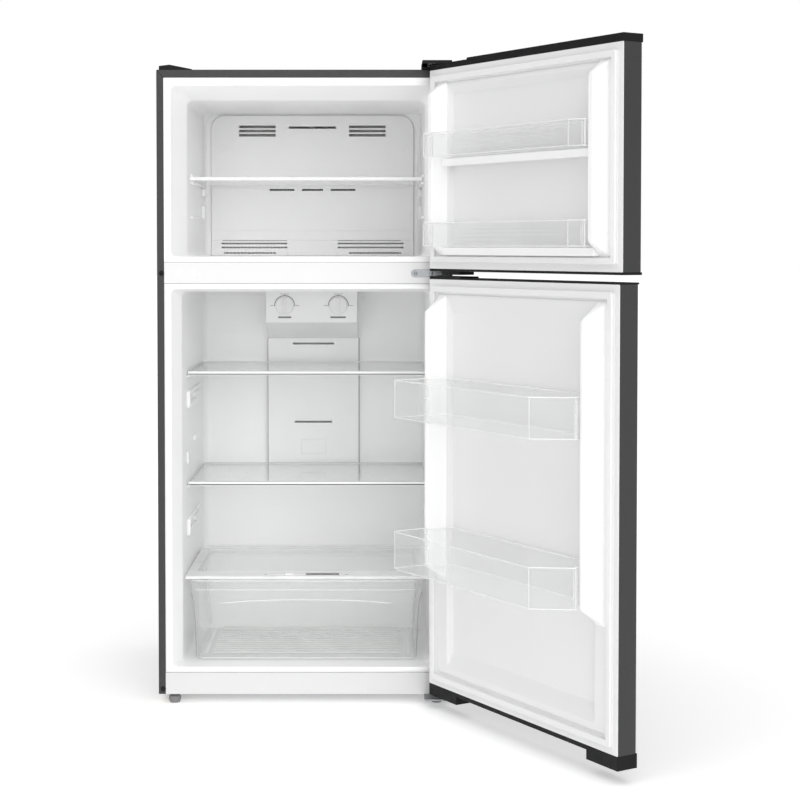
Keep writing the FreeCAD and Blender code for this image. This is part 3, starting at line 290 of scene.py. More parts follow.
def rounded(outline, radius, steps=5):
    """An outline with every corner replaced by an arc."""
    result = []
    total = len(outline)
    for i, corner in enumerate(outline):
        here = Vector(corner)
        back = Vector(outline[i - 1]) - here
        forth = Vector(outline[(i + 1) % total]) - here
        half = back.angle(forth) / 2
        reach = min(radius / math.tan(half), 0.45 * back.length, 0.45 * forth.length)
        first = here + back.normalized() * reach
        last = here + forth.normalized() * reach
        for k in range(steps + 1):
            t = k / steps
            result.append(tuple((1 - t) ** 2 * first + 2 * t * (1 - t) * here + t * t * last))
    return result


class Shape:
    """A mesh in the making, in millimetres from the cabinet's front, door shut."""

    def __init__(self):
        self.mesh = bmesh.new()

    def loft(self, rings, caps=(True, True), closed=True):
        """Faces between rings of equal length, with a cap at either end if asked."""
        rows = [[self.mesh.verts.new(point) for point in ring] for ring in rings]
        for low, high in zip(rows, rows[1:]):
            count = len(low) if closed else len(low) - 1
            for i in range(count):
                j = (i + 1) % len(low)
                self.mesh.faces.new((low[i], low[j], high[j], high[i]))
        if caps[0]:
            self.mesh.faces.new(rows[0][::-1])
        if caps[1]:
            self.mesh.faces.new(rows[-1])
        return self

    def box(self, low, high, radius=0.8, steps=2):
        """A block with rounded edges."""
        made = bmesh.ops.create_cube(self.mesh, size=1)["verts"]
        for v in made:
            v.co = [low[k] + (v.co[k] + 0.5) * (high[k] - low[k]) for k in range(3)]
        if radius:
            edges = list({edge for v in made for edge in v.link_edges})
            bmesh.ops.bevel(self.mesh, geom=edges, offset=radius, segments=steps, profile=0.5,
                            affect="EDGES", clamp_overlap=True)
        return self

    def lathe(self, profile, centre, axis="Z", steps=48):
        """Turn (radius, height) points about an axis through the centre."""
        turn = {"X": lambda a, b, h: (h, a, b), "Y": lambda a, b, h: (b, h, a),
                "Z": lambda a, b, h: (a, b, h)}[axis]
        rings = []
        for radius, height in profile:
            reach = max(radius, 0.01)
            ring = []
            for k in range(steps):
                angle = 2 * math.pi * k / steps
                point = turn(reach * math.cos(angle), reach * math.sin(angle), height)
                ring.append(Vector(centre) + Vector(point))
            rings.append(ring)
        return self.loft(rings)

    def rope(self, points, radius, sides=10, flat=1.0):
        """A round or flattened strip that follows points."""
        line = [Vector(p) for p in points]
        rings = []
        across = None
        for i, point in enumerate(line):
            ahead = (line[min(i + 1, len(line) - 1)] - line[max(i - 1, 0)]).normalized()
            if across is None:
                guess = Vector((0, 1, 0)) if abs(ahead.y) < 0.9 else Vector((1, 0, 0))
                across = ahead.cross(guess).normalized()
            across = (across - ahead * across.dot(ahead)).normalized()
            up = ahead.cross(across)
            turns = [2 * math.pi * k / sides for k in range(sides)]
            rings.append([point + radius * (math.cos(a) * across + flat * math.sin(a) * up)
                          for a in turns])
        return self.loft(rings)

    def piece(self, name, body, material, replaces=(), slot=None, smooth=32, wall=None):
        """Turn the mesh into a piece that rides on a body."""
        bmesh.ops.remove_doubles(self.mesh, verts=self.mesh.verts, dist=0.002)
        bmesh.ops.recalc_face_normals(self.mesh, faces=self.mesh.faces)
        data = bpy.data.meshes.new(name)
        self.mesh.to_mesh(data)
        self.mesh.free()
        data.transform(place_of(body))
        return settle(name, data, body, material, replaces, slot, smooth, wall)


def settle(name, data, body, material, replaces=(), slot=None, smooth=32, wall=None):
    """Place a finished mesh: material, shading, a sheet's thickness, body, and the CAD nodes it replaces."""
    thing = bpy.data.objects.new(name, data)
    bpy.context.scene.collection.objects.link(thing)
    data.materials.clear()
    slot = slot or (material if isinstance(material, str) else None)
    data.materials.append(M[material] if isinstance(material, str) else material)
    data.shade_smooth()
    data.set_sharp_from_angle(angle=math.radians(smooth))
    if wall:
        sheet = thing.modifiers.new("wall", "SOLIDIFY")
        sheet.thickness = abs(wall) * MM
        sheet.offset = math.copysign(1, wall)
    tidy = thing.modifiers.new("normals", "WEIGHTED_NORMAL")
    tidy.keep_sharp = True
    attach(thing, body)
    if replaces:
        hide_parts(*replaces)
    return thing


def copied(source):
    """A copy of a CAD node's mesh, and its shape welded with its flat faces made whole."""
    data = NODES[source].data.copy()
    work = bmesh.new()
    work.from_mesh(data)
    bmesh.ops.remove_doubles(work, verts=work.verts, dist=WELD)
    bmesh.ops.dissolve_limit(work, angle_limit=FLAT, verts=work.verts, edges=work.edges)
    return data, work


def refine(source, radius, steps=2, material=None):
    """A CAD node's own shape with its edges eased, shown in the node's place."""
    data, work = copied(source)
    sharp = [e for e in work.edges
             if len(e.link_faces) == 2 and e.calc_face_angle(0) > math.radians(32)]
    if radius and sharp:
        bmesh.ops.bevel(work, geom=sharp, offset=radius * MM, segments=steps, profile=0.5,
                        affect="EDGES", clamp_overlap=True)
    work.to_mesh(data)
    work.free()
    data.name = source + "_eased"
    settle(data.name, data, BODY_OF[source], material or SLOT_OF[source], (source,),
           SLOT_OF[source])


# ---- cabinet

def cabinet_wrap():
    """One folded sheet round both sides and the top, with mitred front flanges and back returns."""
    low, high = extent("cabinet_shell")
    half, top, back = high.x, high.z, high.y
    bend = 2.5
    inner, under = FLANGE_WIDTH, FLANGE_WIDTH + 2
    profile = [(12, 12, back), (bend, bend, back), (0.8, 0.8, back - 0.8), (0, 0, back - bend),
               (0, 0, 2.2), (0.6, 0.6, 0.7), (2, 2, 0), (inner - 0.6, under - 0.6, 0),
               (inner, under, 0.5), (inner, under, 1.4)]
    shape = Shape()
    for side in (-1, 1):
        rows = []
        for across, down, depth in profile:
            corner = arc(half - max(bend, across), top - max(bend, down),
                         max(bend - across, 0), 0, 90, 6)
            rows.append([(side * (half - across), depth, low.z)]
                        + [(side * x, depth, z) for x, z in corner] + [(0, depth, top - down)])
        shape.loft(rows, (False, False), closed=False)
    shape.piece("cabinet_wrap", "cabinet", "cabinet_paint", ("cabinet_shell",), wall=-SHEET_STEEL)
    seams = Shape()
    for side in (-1, 1):
        seams.rope([(side * (half - 1.6), -0.02, top - 1.7),
                    (side * (half - inner + 0.4), -0.02, top - under + 0.4)], 0.35, 6)
    for side in (-1, 1):
        left, right = sorted((side * (half - 51), side * (half - 1)))
        seams.box((left, 51, low.z), (right, back - 1, low.z + 0.8), 0)
    seams.piece("cabinet_wrap_seams", "cabinet", M["black_plastic"], slot="cabinet_paint")


def outlines(rings):
    """A liner's outlines from (half width, low, high, depth, corner radius), front to back."""
    return [[(x, depth, z) for x, z in rectangle(-half, half, low, high, radius)]
            for half, low, high, depth, radius in rings]


def turned_back(half, floor, ceiling, back, radius):
    """The rings of the round edge between a liner's walls and its back."""
    rings = [(half, floor, ceiling, back - radius, radius)]
    for k in range(1, 7):
        angle = math.radians(15 * k)
        shrink = radius * (1 - math.cos(angle))
        rings.append((half - shrink, floor + shrink, ceiling - shrink,
                      back - radius + radius * math.sin(angle), radius))
    return rings


def flange_edge(low, high):
    """The rings of the outer edge of a liner's front flange."""
    return [(high.x, low.z, high.z, 1.5, 1), (high.x, low.z, high.z, 0.3, 1),
            (high.x - 0.3, low.z + 0.3, high.z - 0.3, 0, 1)]


def scratch(shape, name):
    """A shape put in the scene for a while, for cutting."""
    bmesh.ops.recalc_face_normals(shape.mesh, faces=shape.mesh.faces)
    data = bpy.data.meshes.new(name)
    shape.mesh.to_mesh(data)
    thing = bpy.data.objects.new(name, data)
    bpy.context.scene.collection.objects.link(thing)
    return thing


def freezer_cavity():
    """The freezer's vacuum formed liner, from its front flange to its back."""
    low, high = extent("freezer_liner")
    floor, ceiling = 1069, 1443
    rings = flange_edge(low, high) + [
        (318.5, 1066.5, 1474.5, 0, 13), (316.8, 1068.1, 1472.8, 0.7, 13),
        (316, floor, 1472, 2.5, 13),
        (288.6, floor, 1445.6, 73, 15), (286.8, floor, 1443.8, 77, 15),
        (FREEZER_HALF, floor, ceiling, 82, 15)]
    rings += turned_back(FREEZER_HALF, floor, ceiling, high.y - 1.5, 18)
    shape = Shape()
    shape.loft(outlines(rings), (False, True))
    return shape.piece("freezer_cavity", "cabinet", "white_liner", ("freezer_liner",), smooth=40)


def fridge_cavity():
    """The fresh food liner, cut away where the hump over the compressor stands."""
    low, high = extent("fridge_liner")
    floor, ceiling, back = 90.5, 985, high.y - 1.5
    rings = flange_edge(low, high) + [
        (318.5, 88, 994.5, 0, 11), (316.8, 89.6, 992.8, 0.7, 11), (316, floor, 992, 2.5, 11),
        (299, floor, 985.9, 45, 14), (297.6, floor, 985.2, 48, 14),
        (FRIDGE_HALF, floor, ceiling, 52, 14)]
    rings += turned_back(FRIDGE_HALF, floor, ceiling, back, 20)
    shape = Shape()
    mouth = [(x, -8, z) for x, z in rectangle(-high.x, high.x, low.z, high.z, 1)]
    shape.loft([mouth] + outlines(rings)[2:], (True, True))
    step = Shape()
    step.box((-FRIDGE_HALF - 30, 410, floor - 40), (FRIDGE_HALF + 30, back + 30, 286), 3, 3)
    first = scratch(shape, "fridge_cavity_solid")
    second = scratch(step, "fridge_cavity_step")
    cut = first.modifiers.new("cut", "BOOLEAN")
    cut.operation = "DIFFERENCE"
    cut.object = second
    cut.solver = "EXACT"
    bpy.context.view_layer.update()
    graph = bpy.context.evaluated_depsgraph_get()
    result = bpy.data.meshes.new_from_object(first.evaluated_get(graph))
    for thing in (first, second):
        bpy.data.objects.remove(thing)
    work = bmesh.new()
    work.from_mesh(result)
    outside = [f for f in work.faces if any(v.co.y < -1 for v in f.verts)]
    bmesh.ops.delete(work, geom=outside, context="FACES")
    loose = [v for v in work.verts if not v.link_faces]
    bmesh.ops.delete(work, geom=loose, context="VERTS")
    work.to_mesh(result)
    work.free()
    result.transform(place_of("cabinet"))
    return settle("fridge_cavity", result, "cabinet", "white_liner", ("fridge_liner",), smooth=34)


def liner_walls():
    """Both liners, with their faces turned to the inside and a wall that grows outwards."""
    for thing in (freezer_cavity(), fridge_cavity()):
        centre = sum((Vector(c) for c in thing.bound_box), Vector()) / 8
        inwards = sum(face.area * (centre - face.center).dot(face.normal)
                      for face in thing.data.polygons)
        if inwards < 0:
            thing.data.flip_normals()
        wall = thing.modifiers.new("wall", "SOLIDIFY")
        wall.thickness = LINER_WALL * MM
        wall.offset = -1


def freezer_shoulder():
    """The liner's step round the evaporator cover, close behind the cover's front."""
    low, high = extent("evaporator_cover")
    wall, ceiling, floor = FREEZER_HALF - 0.4, 1442.6, 1069.4
    corner = 38

    def ring(grow, y):
        """Up the left, round the top corners and down the right, off the cover by grow."""
        points = [(-high.x - grow, floor)]
        for centre, start in ((low.x + corner, 180), (high.x - corner, 90)):
            points += arc(centre, high.z - corner, corner + grow, start, -90, 12)
        points.append((high.x + grow, floor))
        return [(max(-wall, min(wall, x)), y, min(z, ceiling)) for x, z in points]

    shape = Shape()
    steps = ((0.9, 30), (0.9, 9), (1.3, 7.6), (2.4, 7), (8, 7), (12, 5.8), (15, 3), (17, -1),
             (18.2, -7), (60, -7.2))
    shape.loft([ring(grow, low.y + behind) for grow, behind in steps], (False, False), closed=False)
    shape.piece("freezer_shoulder", "cabinet", "white_liner", smooth=50, wall=0.6)


def shelf_rails():
    """The ribs pressed into both side walls that the shelves lie on, and the spare levels."""
    shape = Shape()
    for half, level, back in ((FRIDGE_HALF, 777, 500), (FRIDGE_HALF, 505, 500),
                              (FRIDGE_HALF, 289.5, 405), (FREEZER_HALF, 1251.5, 470)):
        for side in (-1, 1):
            left, right = sorted((side * (half - 8), side * (half + 0.8)))
            shape.box((left, 150, level - 6.3), (right, back, level - 0.4), 2.4, 3)

    def embossed(half, front, back, low, high, reach, soft=3.5):
        for side in (-1, 1):
            left, right = sorted((side * (half - reach), side * (half + 1)))
            shape.box((left, front, low), (right, back, high), soft, 4)

    for top in (737, 421):
        embossed(FRIDGE_HALF, 150, 164, top - 38, top, 8)
        embossed(FRIDGE_HALF, 150, 330, top - 42, top - 30, 7)
        embossed(FRIDGE_HALF, 190, 430, top - 9, top, 5)
        embossed(FRIDGE_HALF, 300, 420, top - 26, top - 16, 4, 3)
    embossed(FRIDGE_HALF, 150, 168, 558, 586, 4, 3)
    embossed(FRIDGE_HALF, 300, 360, 598, 612, 5, 3)
    embossed(FRIDGE_HALF, 150, 400, 270, 288.8, 8, 4)
    for top, low in ((1269, 1261), (1199, 1160)):
        embossed(FREEZER_HALF, 408, 452, low, top, 9, 4)
        embossed(FREEZER_HALF, 150, 420, low, low + 9, 6, 3.5)
    embossed(FREEZER_HALF, 408, 456, 1222, 1244, 9, 4)
    shape.piece("liner_shelf_rails", "cabinet", "white_liner")


def duct_seam_shadows():
    """Painted shadow: dark strips in the open joint down both sides of the duct cover and along its left edge."""
    low, high = extent("duct_cover")
    seams = Shape()
    for x in (low.x - 0.9, high.x + 0.9):
        seams.box((x - 0.8, 550, low.z + 1), (x + 0.8, 551.6, high.z - 1), 0)
    seams.box((low.x - 1.6, low.y + 2, low.z + 1), (low.x - 0.1, low.y + 4, high.z - 1), 0)
    seams.piece("duct_seam_shadows", "cabinet", SEAM_SHADOW, slot="grey_plastic")


def shadow_seams():
    """Painted shadow: dark strips in the open joints between the flanges, the mullion cover and the front rail."""
    seams = Shape()
    mullion_low, mullion_high = extent("mullion_cover")
    for z in (mullion_high.z + 0.1, mullion_low.z - 0.1, extent("front_rail")[1].z + 0.1):
        seams.box((-333, -0.12, z - 0.55), (333, 0.4, z + 0.55), 0)
    seams.piece("flange_seam_shadows", "cabinet", SEAM_SHADOW, slot="grey_plastic")


def hole_plugs():
    """White plugs in the mullion's spare hinge holes, black ones in the left flange."""
    white = Shape()
    for x in (-298, -262):
        white.lathe([(7.5, -0.02), (7.4, -0.7), (6.4, -1.3), (3.5, -1.7), (0, -1.8)],
                    (x, 0, MULLION_MIDDLE), "Y", 32)
    white.piece("mullion_plugs", "cabinet", "white_plastic")
    black = Shape()
    for z in (MULLION_MIDDLE, 37.5):
        black.lathe([(6.2, -0.02), (6.1, -1.2), (5, -2.2), (2.6, -2.8), (0, -2.9)],
                    (-339, 0, z), "Y", 32)
    black.piece("flange_plugs", "cabinet", "black_plastic")


# ---- doors

def door_steel(name):
    """The folded outer sheet of a door, round on its two long edges."""
    low, high = extent(name + "_skin")
    bend = 7
    outline = ([(low.x, high.y)] + arc(low.x + bend, low.y + bend, bend, 180, 90, 8)
               + arc(high.x - bend, low.y + bend, bend, 270, 90, 8) + [(high.x, high.y)])
    rings = [[(x, y, z) for x, y in outline] for z in (low.z, high.z)]
    shape = Shape()
    shape.loft(rings, (False, False), closed=False)
    bmesh.ops.recalc_face_normals(shape.mesh, faces=shape.mesh.faces)
    middle = (low + high) / 2
    outwards = sum(f.calc_area() * (f.calc_center_median() - middle).dot(f.normal)
                   for f in shape.mesh.faces)
    wall = -SHEET_STEEL if outwards > 0 else SHEET_STEEL
    shape.piece(name + "_steel", name, "cabinet_paint", (name + "_skin",), wall=wall)


def door_foam(name):
    """The foam, with its outer long edges rounded to sit inside the sheet."""
    source = name + "_foam"
    low, high = extent(source)
    back = place_of(name).inverted()
    data, work = copied(source)
    near = 0.1
    long_edges = []
    for edge in work.edges:
        a, b = (back @ v.co for v in edge.verts)
        outer = abs(a.y - low.y) < near and abs(b.y - low.y) < near
        if outer and abs(a.x - b.x) < near and abs(a.x) > high.x - near:
            long_edges.append(edge)
    bmesh.ops.bevel(work, geom=long_edges, offset=6.4 * MM, segments=6, profile=0.5, affect="EDGES")
    work.to_mesh(data)
    work.free()
    settle(source + "_core", data, name, "insulation", (source,))


def door_panel(name, top, bottom, floor_top, floor_bottom):
    """The pressed inner panel: seat for the gasket, its groove, and the recess for the bins."""
    low, high = extent(name + "_liner")
    rings = [(0, 0, 0, -1.5, 2), (0, 0, 0, -0.5, 2), (0.4, 0.4, 0.4, 0, 2), (32, 31, 32, 0, 7),
             (33, 31.6, 33, -0.3, 7.5), (33.8, 32.2, 33.8, -1.2, 8), (35.6, 33.4, 35.6, -1.2, 8.5),
             (36.4, 34, 36.4, -0.2, 9), (37.6, 35, 37.6, 0.7, 10), (40, 36.6, 40, 0.9, 11),
             (72, top - 4, bottom - 4, 0.9, 12), (74.6, top - 1.6, bottom - 1.6, 0.5, 11)]
    recess = 14
    for share, ease in ((0.0, 0.4), (0.06, 0.15), (0.12, 0), (0.86, 0), (0.93, -0.2), (1.0, -0.7)):
        rings.append((76 + 4 * share - ease, top + (floor_top - top) * share - ease,
                      bottom + (floor_bottom - bottom) * share - ease, -recess * share,
                      10 - 2 * share))
    rings.append((82.5, floor_top + 2.5, floor_bottom + 2.5, -recess, 7))
    shape = Shape()
    shape.loft([[(x, DOOR_PLANE + rise, z) for x, z in
                 rectangle(low.x + side, high.x - side, low.z + down, high.z - up, radius)]
                for side, up, down, rise, radius in rings], (False, True))
    # the lining takes the darker, shaded copy of the liner white
    panel = shape.piece(name + "_lining", name, DOOR_WHITE_SHADED, (name + "_liner",), "white_liner",
                        smooth=50)
    wall = panel.modifiers.new("wall", "SOLIDIFY")
    wall.thickness = DOOR_LINER_WALL * MM
    normal = place_of(name).to_3x3().normalized() @ Vector((0, 1, 0))
    faces = sum(f.area * f.normal.dot(normal) for f in panel.data.polygons)
    wall.offset = -1 if faces > 0 else 1


def door_posts(name, base, tip, low, high, slope, rise):
    """The two hollow posts that carry the bins, and the ledges under the freezer's bins.

    Base and tip are the inner and outer sides of a post where it starts and at its top."""
    steps = [(0.02, 3.0), (0.04, 1.2), (0.08, 0.2)] + [(k / 10, 0) for k in range(2, 9)]
    for k in range(6):
        angle = math.radians(18 * k)
        share = 1 - 0.09 * (1 - math.sin(angle)) if k < 5 else 1.0
        steps.append((share, -4 * (1 - math.cos(angle))))
    post = Shape()
    for side in (-1, 1):
        rings = []
        for share, grow in steps:
            inner = base[0] + (tip[0] - base[0]) * share - grow
            outer = base[1] + (tip[1] - base[1]) * share + grow
            left, right = sorted((side * inner, side * outer))
            rings.append([(x, DOOR_PLANE + rise * share, z) for x, z in
                          rectangle(left, right, low + slope * share - grow,
                                    high - slope * share + grow,
                                    min(7, (right - left) / 2 - 0.5))])
        post.loft(rings, (False, True))
        left, right = sorted((side * (tip[0] + 5), side * (tip[1] - 5)))
        groove = [(x, DOOR_PLANE + rise - 0.1, z) for x, z in
                  rectangle(left, right, low + slope + 22, high - slope - 22, 3.5)]
        post.rope(groove + groove[:1], 0.45, 6)
    if name == "freezer_door":
        for foot, head, reach in ((1277, 1294.6, 17), (1073, 1091, 15)):
            front = DOOR_PLANE + reach
            rows = [(-13.9, 3, 277), (-13.4, 1.2, 277), (DOOR_PLANE + 3, 0, 276.6),
                    (front - 4, 0, 276), (front - 1.2, 0.8, 275.4), (front, 3, 274.5)]
            post.loft([[(x, y, z) for x, z in
                        rectangle(-half, half, foot + inset, head - inset * 0.4, 3)]
                       for y, inset, half in rows], (False, True))
    post.piece(name + "_posts", name, "white_liner", smooth=42)


def gasket(name):
    """Magnetic seal: a lip, a bellows waist and the magnet's pocket, mitred at the corners."""
    low, high = extent(name + "_gasket")
    profile = [(0, 0), (0, 1.6), (2.5, 2.4), (3.4, 3.6), (2.2, 4.6), (0.6, 5.2), (0.2, 6.4),
               (0.6, 8.2), (1.8, 9), (12.6, 9), (14, 8.2), (14.6, 6.4), (14, 5), (11.4, 4.4),
               (10.8, 3.4), (12, 2.2), (15, 1.4), (15, 0), (0, 0)]
    shape = Shape()
    shape.loft([[(x, low.y + rise, z) for x, z in
                 rectangle(low.x + inset, high.x - inset, low.z + inset, high.z - inset,
                           max(6 - inset * 0.3, 1.5), 4)]
                for inset, rise in profile], (False, False))
    shape.piece(name + "_seal", name, "gasket_rubber", (name + "_gasket",), smooth=50)


def bins():
    """Clear door bins: round-cornered tubs with a rim, ribs at the ends and hooked shoulders."""
    neck = 270  # half the width between the posts
    shapes = {"freezer": (286, -285, 54, -253, 36, 38, 5),
              "fridge": (291, -288, 128, -232, 52, 49, 7)}
    for where, (end, free, reach, cut, cut_y, rise, corner) in shapes.items():
        shoulder = DOOR_PLANE + rise + 1.5
        for level in ("upper", "lower"):
            name = f"{where}_{level}_bin"
            low, high = extent(name)
            outline = [(neck, low.y), (neck, shoulder), (end, shoulder), (end, reach), (cut, reach),
                       (free, cut_y), (free, shoulder), (-neck, shoulder), (-neck, low.y)]
            shape = Shape()

            def ring(inset, z):
                return [(x, y, z) for x, y in rounded(offset(outline, inset), corner)]

            shape.loft([ring(3.4, low.z), ring(1.8, low.z + 0.5), ring(0.9, low.z + 1.9),
                        ring(0.8, high.z - 5), ring(0.1, high.z - 4.2), ring(0.0, high.z - 0.7),
                        ring(0.5, high.z), ring(2.2, high.z), ring(2.7, high.z - 0.7),
                        ring(2.8, low.z + 4.2), ring(3.6, low.z + 2.8), ring(5.4, low.z + 2.4)])
            shape.piece(name + "_tub", name, "clear_plastic", (name,), smooth=38)
            rim = Shape()
            for inset, z, size in ((1.3, high.z - 1.2, 1.15), (2.0, low.z + 2.0, 1.1)):
                line = ring(inset, z)
                rim.rope(line + line[:2], size, 8)
            for x, y in outline[2:6]:
                x += -2.6 if x > 0 else 2.6
                rim.rope([(x, y - 3.2, low.z + 3), (x, y - 3.2, high.z - 3)], 0.9, 8)
            rim.piece(name + "_rim", name, CLEAR_EDGE, slot="clear_plastic", smooth=50)
            ribs = Shape()
            tall = high.z - low.z
            for side in (-1, 1):
                edge = end if side > 0 else -free
                left, right = sorted((side * 273.5, side * (edge - 3.5)))
                for z in (low.z + 0.12 * tall, low.z + 0.52 * tall):
                    line = [(x, shoulder + 2.6, up) for x, up in
                            rectangle(left, right, z, z + 0.32 * tall, 1.4, 3)]
                    ribs.rope(line + line[:2], 0.6, 6)
                for k in range(3):
                    y = shoulder + 5 + 4 * k
                    x = side * (edge - 2.6)
                    ribs.rope([(x, y, low.z + 5), (x, y, high.z - 8)], 0.4, 6)
            if where == "freezer":
                for k in range(4):
                    z = low.z + 12 + k * 9
                    ribs.rope([(150 - 18 * k, reach - 2.6, z), (cut + 40, reach - 2.6, z)], 0.35, 6)
            ribs.piece(name + "_ribs", name, CLEAR_RIB, slot="clear_plastic", smooth=50)


# ---- inside the cabinet

def evaporator_trim():
    """Details on the evaporator cover: fold, louvre bars, screw plugs, dimple, and a painted shadow strip under
    the fold.
    """
    low, high = extent("evaporator_cover")
    y = low.y
    fold = Shape()
    fold.box((low.x + 14, y - 1.2, 1134.5), (high.x - 14, y + 0.3, 1137.2), 0.55, 2)
    fold.box((low.x + 3, y - 1.8, 1108.4), (high.x - 3, y + 0.3, 1110.6), 0.7, 2)
    fold.box((-66, y - 2.4, low.z + 0.2), (66, y + 0.3, 1078), 1.1, 3)
    for x in (-236, 236):
        fold.lathe([(9.2, 0), (9, -0.5), (8.4, -0.7), (7.9, -0.3), (7, -0.45), (0, -0.5)],
                   (x, y, 1351), "Y", 32)
    fold.lathe([(18, 0.2), (17.6, -0.25), (16.5, -0.3), (0, -0.3)], (-216, y, 1384), "Y", 40)
    fold.piece("evaporator_cover_details", "cabinet", "white_plastic")
    bars = Shape()
    for side in (-1, 1):
        for k in range(17):
            x = side * (76 + k * 9.6)
            if abs(x) < 236:
                bars.box((x - 0.9, y + 0.2, 1086.5), (x + 0.9, y + 2.2, 1104), 0.2, 1)
            if 100 < abs(x) < 231:
                bars.box((x - 0.9, y + 0.2, 1072.2), (x + 0.9, y + 2.2, 1078.8), 0.2, 1)
    bars.piece("louvre_bars", "cabinet", "white_plastic")
    # painted shadow: dark strips under the fold line, in place of its shade
    fold_shade = Shape()
    for left, right in ((-237, -67), (67, 233)):
        fold_shade.box((left, y - 1.95, 1107.9), (right, y - 0.2, 1109.4), 0)
    fold_shade.piece("fold_shadow", "cabinet", SEAM_SHADOW, slot="grey_plastic")


def control_marks():
    """Printed arcs and ticks round both knobs, and the level bars under them."""
    y = extent("control_housing")[0].y - 0.05
    marks = Shape()
    for side in (-1, 1):
        x, z = side * KNOB_ACROSS, KNOB_HEIGHT
        dial = [(across, y, up) for across, up in arc(x, z, 26.2, -4, 186, 31)]
        marks.rope(dial, 0.85, 6, 0.3)
        marks.rope([(x - 38, y, z), (x - 28, y, z)], 0.45, 6, 0.4)
        marks.rope([(x + 28, y, z), (x + 38, y, z)], 0.45, 6, 0.4)
        marks.rope([(x - 12, y, z + 30.2), (x + 12, y, z + 30.2)], 0.45, 6, 0.4)
        marks.rope([(x, y, z + 27), (x, y, z + 29.6)], 0.5, 6, 0.4)
    for left, right in ((-87, -53), (49, 89)):
        marks.box((left, y - 0.12, 906.4), (right, y + 0.15, 910.6), 0.08, 1)
    marks.piece("control_print", "cabinet", PRINT, slot="grey_plastic")


def knobs():
    """Round dials with a milled edge and a grip bar."""
    for name in ("freezer_knob", "fridge_knob"):
        low, high = extent(name)
        x, z = (low.x + high.x) / 2, (low.z + high.z) / 2
        front = low.y
        shape = Shape()
        shape.lathe([(4, high.y - front), (4, 9.6), (22.9, 9), (23.4, 8.4), (23.5, 5.4), (23, 4.2),
                     (21.6, 3.4), (20.4, 3.1), (19.8, 3.5), (0, 3.5)], (x, front, z), "Y", 72)
        shape.box((x - 3.4, front, z - 20), (x + 3.4, front + 5, z + 20), 1.6, 3)
        shape.piece(name + "_dial", name, "knob_plastic", (name,), smooth=35)


def shelves():
    """Toughened glass with ground edges, and white moulded front and back trims."""
    for name in ("upper_shelf", "lower_shelf"):
        low, high = extent(name + "_glass")
        pane = Shape()
        pane.box(low, high, 0.7, 2)
        glass = pane.piece(name + "_pane", name, "shelf_glass", (name + "_glass",))
        glass.data.materials.append(GLASS_EDGE)
        for face in glass.data.polygons:
            if abs(face.normal.x) > 0.5:
                face.material_index = 1
        outer_low, outer_high = extent(name + "_trim")
        trim = Shape()
        for y0, y1, lip in ((outer_low.y, outer_low.y + 14, (outer_low.y, low.y - 0.1)),
                            (outer_high.y - 14, outer_high.y, (high.y + 0.1, outer_high.y))):
            trim.box((outer_low.x, y0, outer_low.z), (outer_high.x, y1, low.z - 0.06), 1.0, 3)
            trim.box((outer_low.x, y0, high.z + 0.06), (outer_high.x, y1, outer_high.z), 0.6, 2)
            trim.box((outer_low.x, lip[0], outer_low.z), (outer_high.x, lip[1], outer_high.z),
                     1.6, 4)
        trim.piece(name + "_rails", name, "white_plastic", (name + "_trim",))


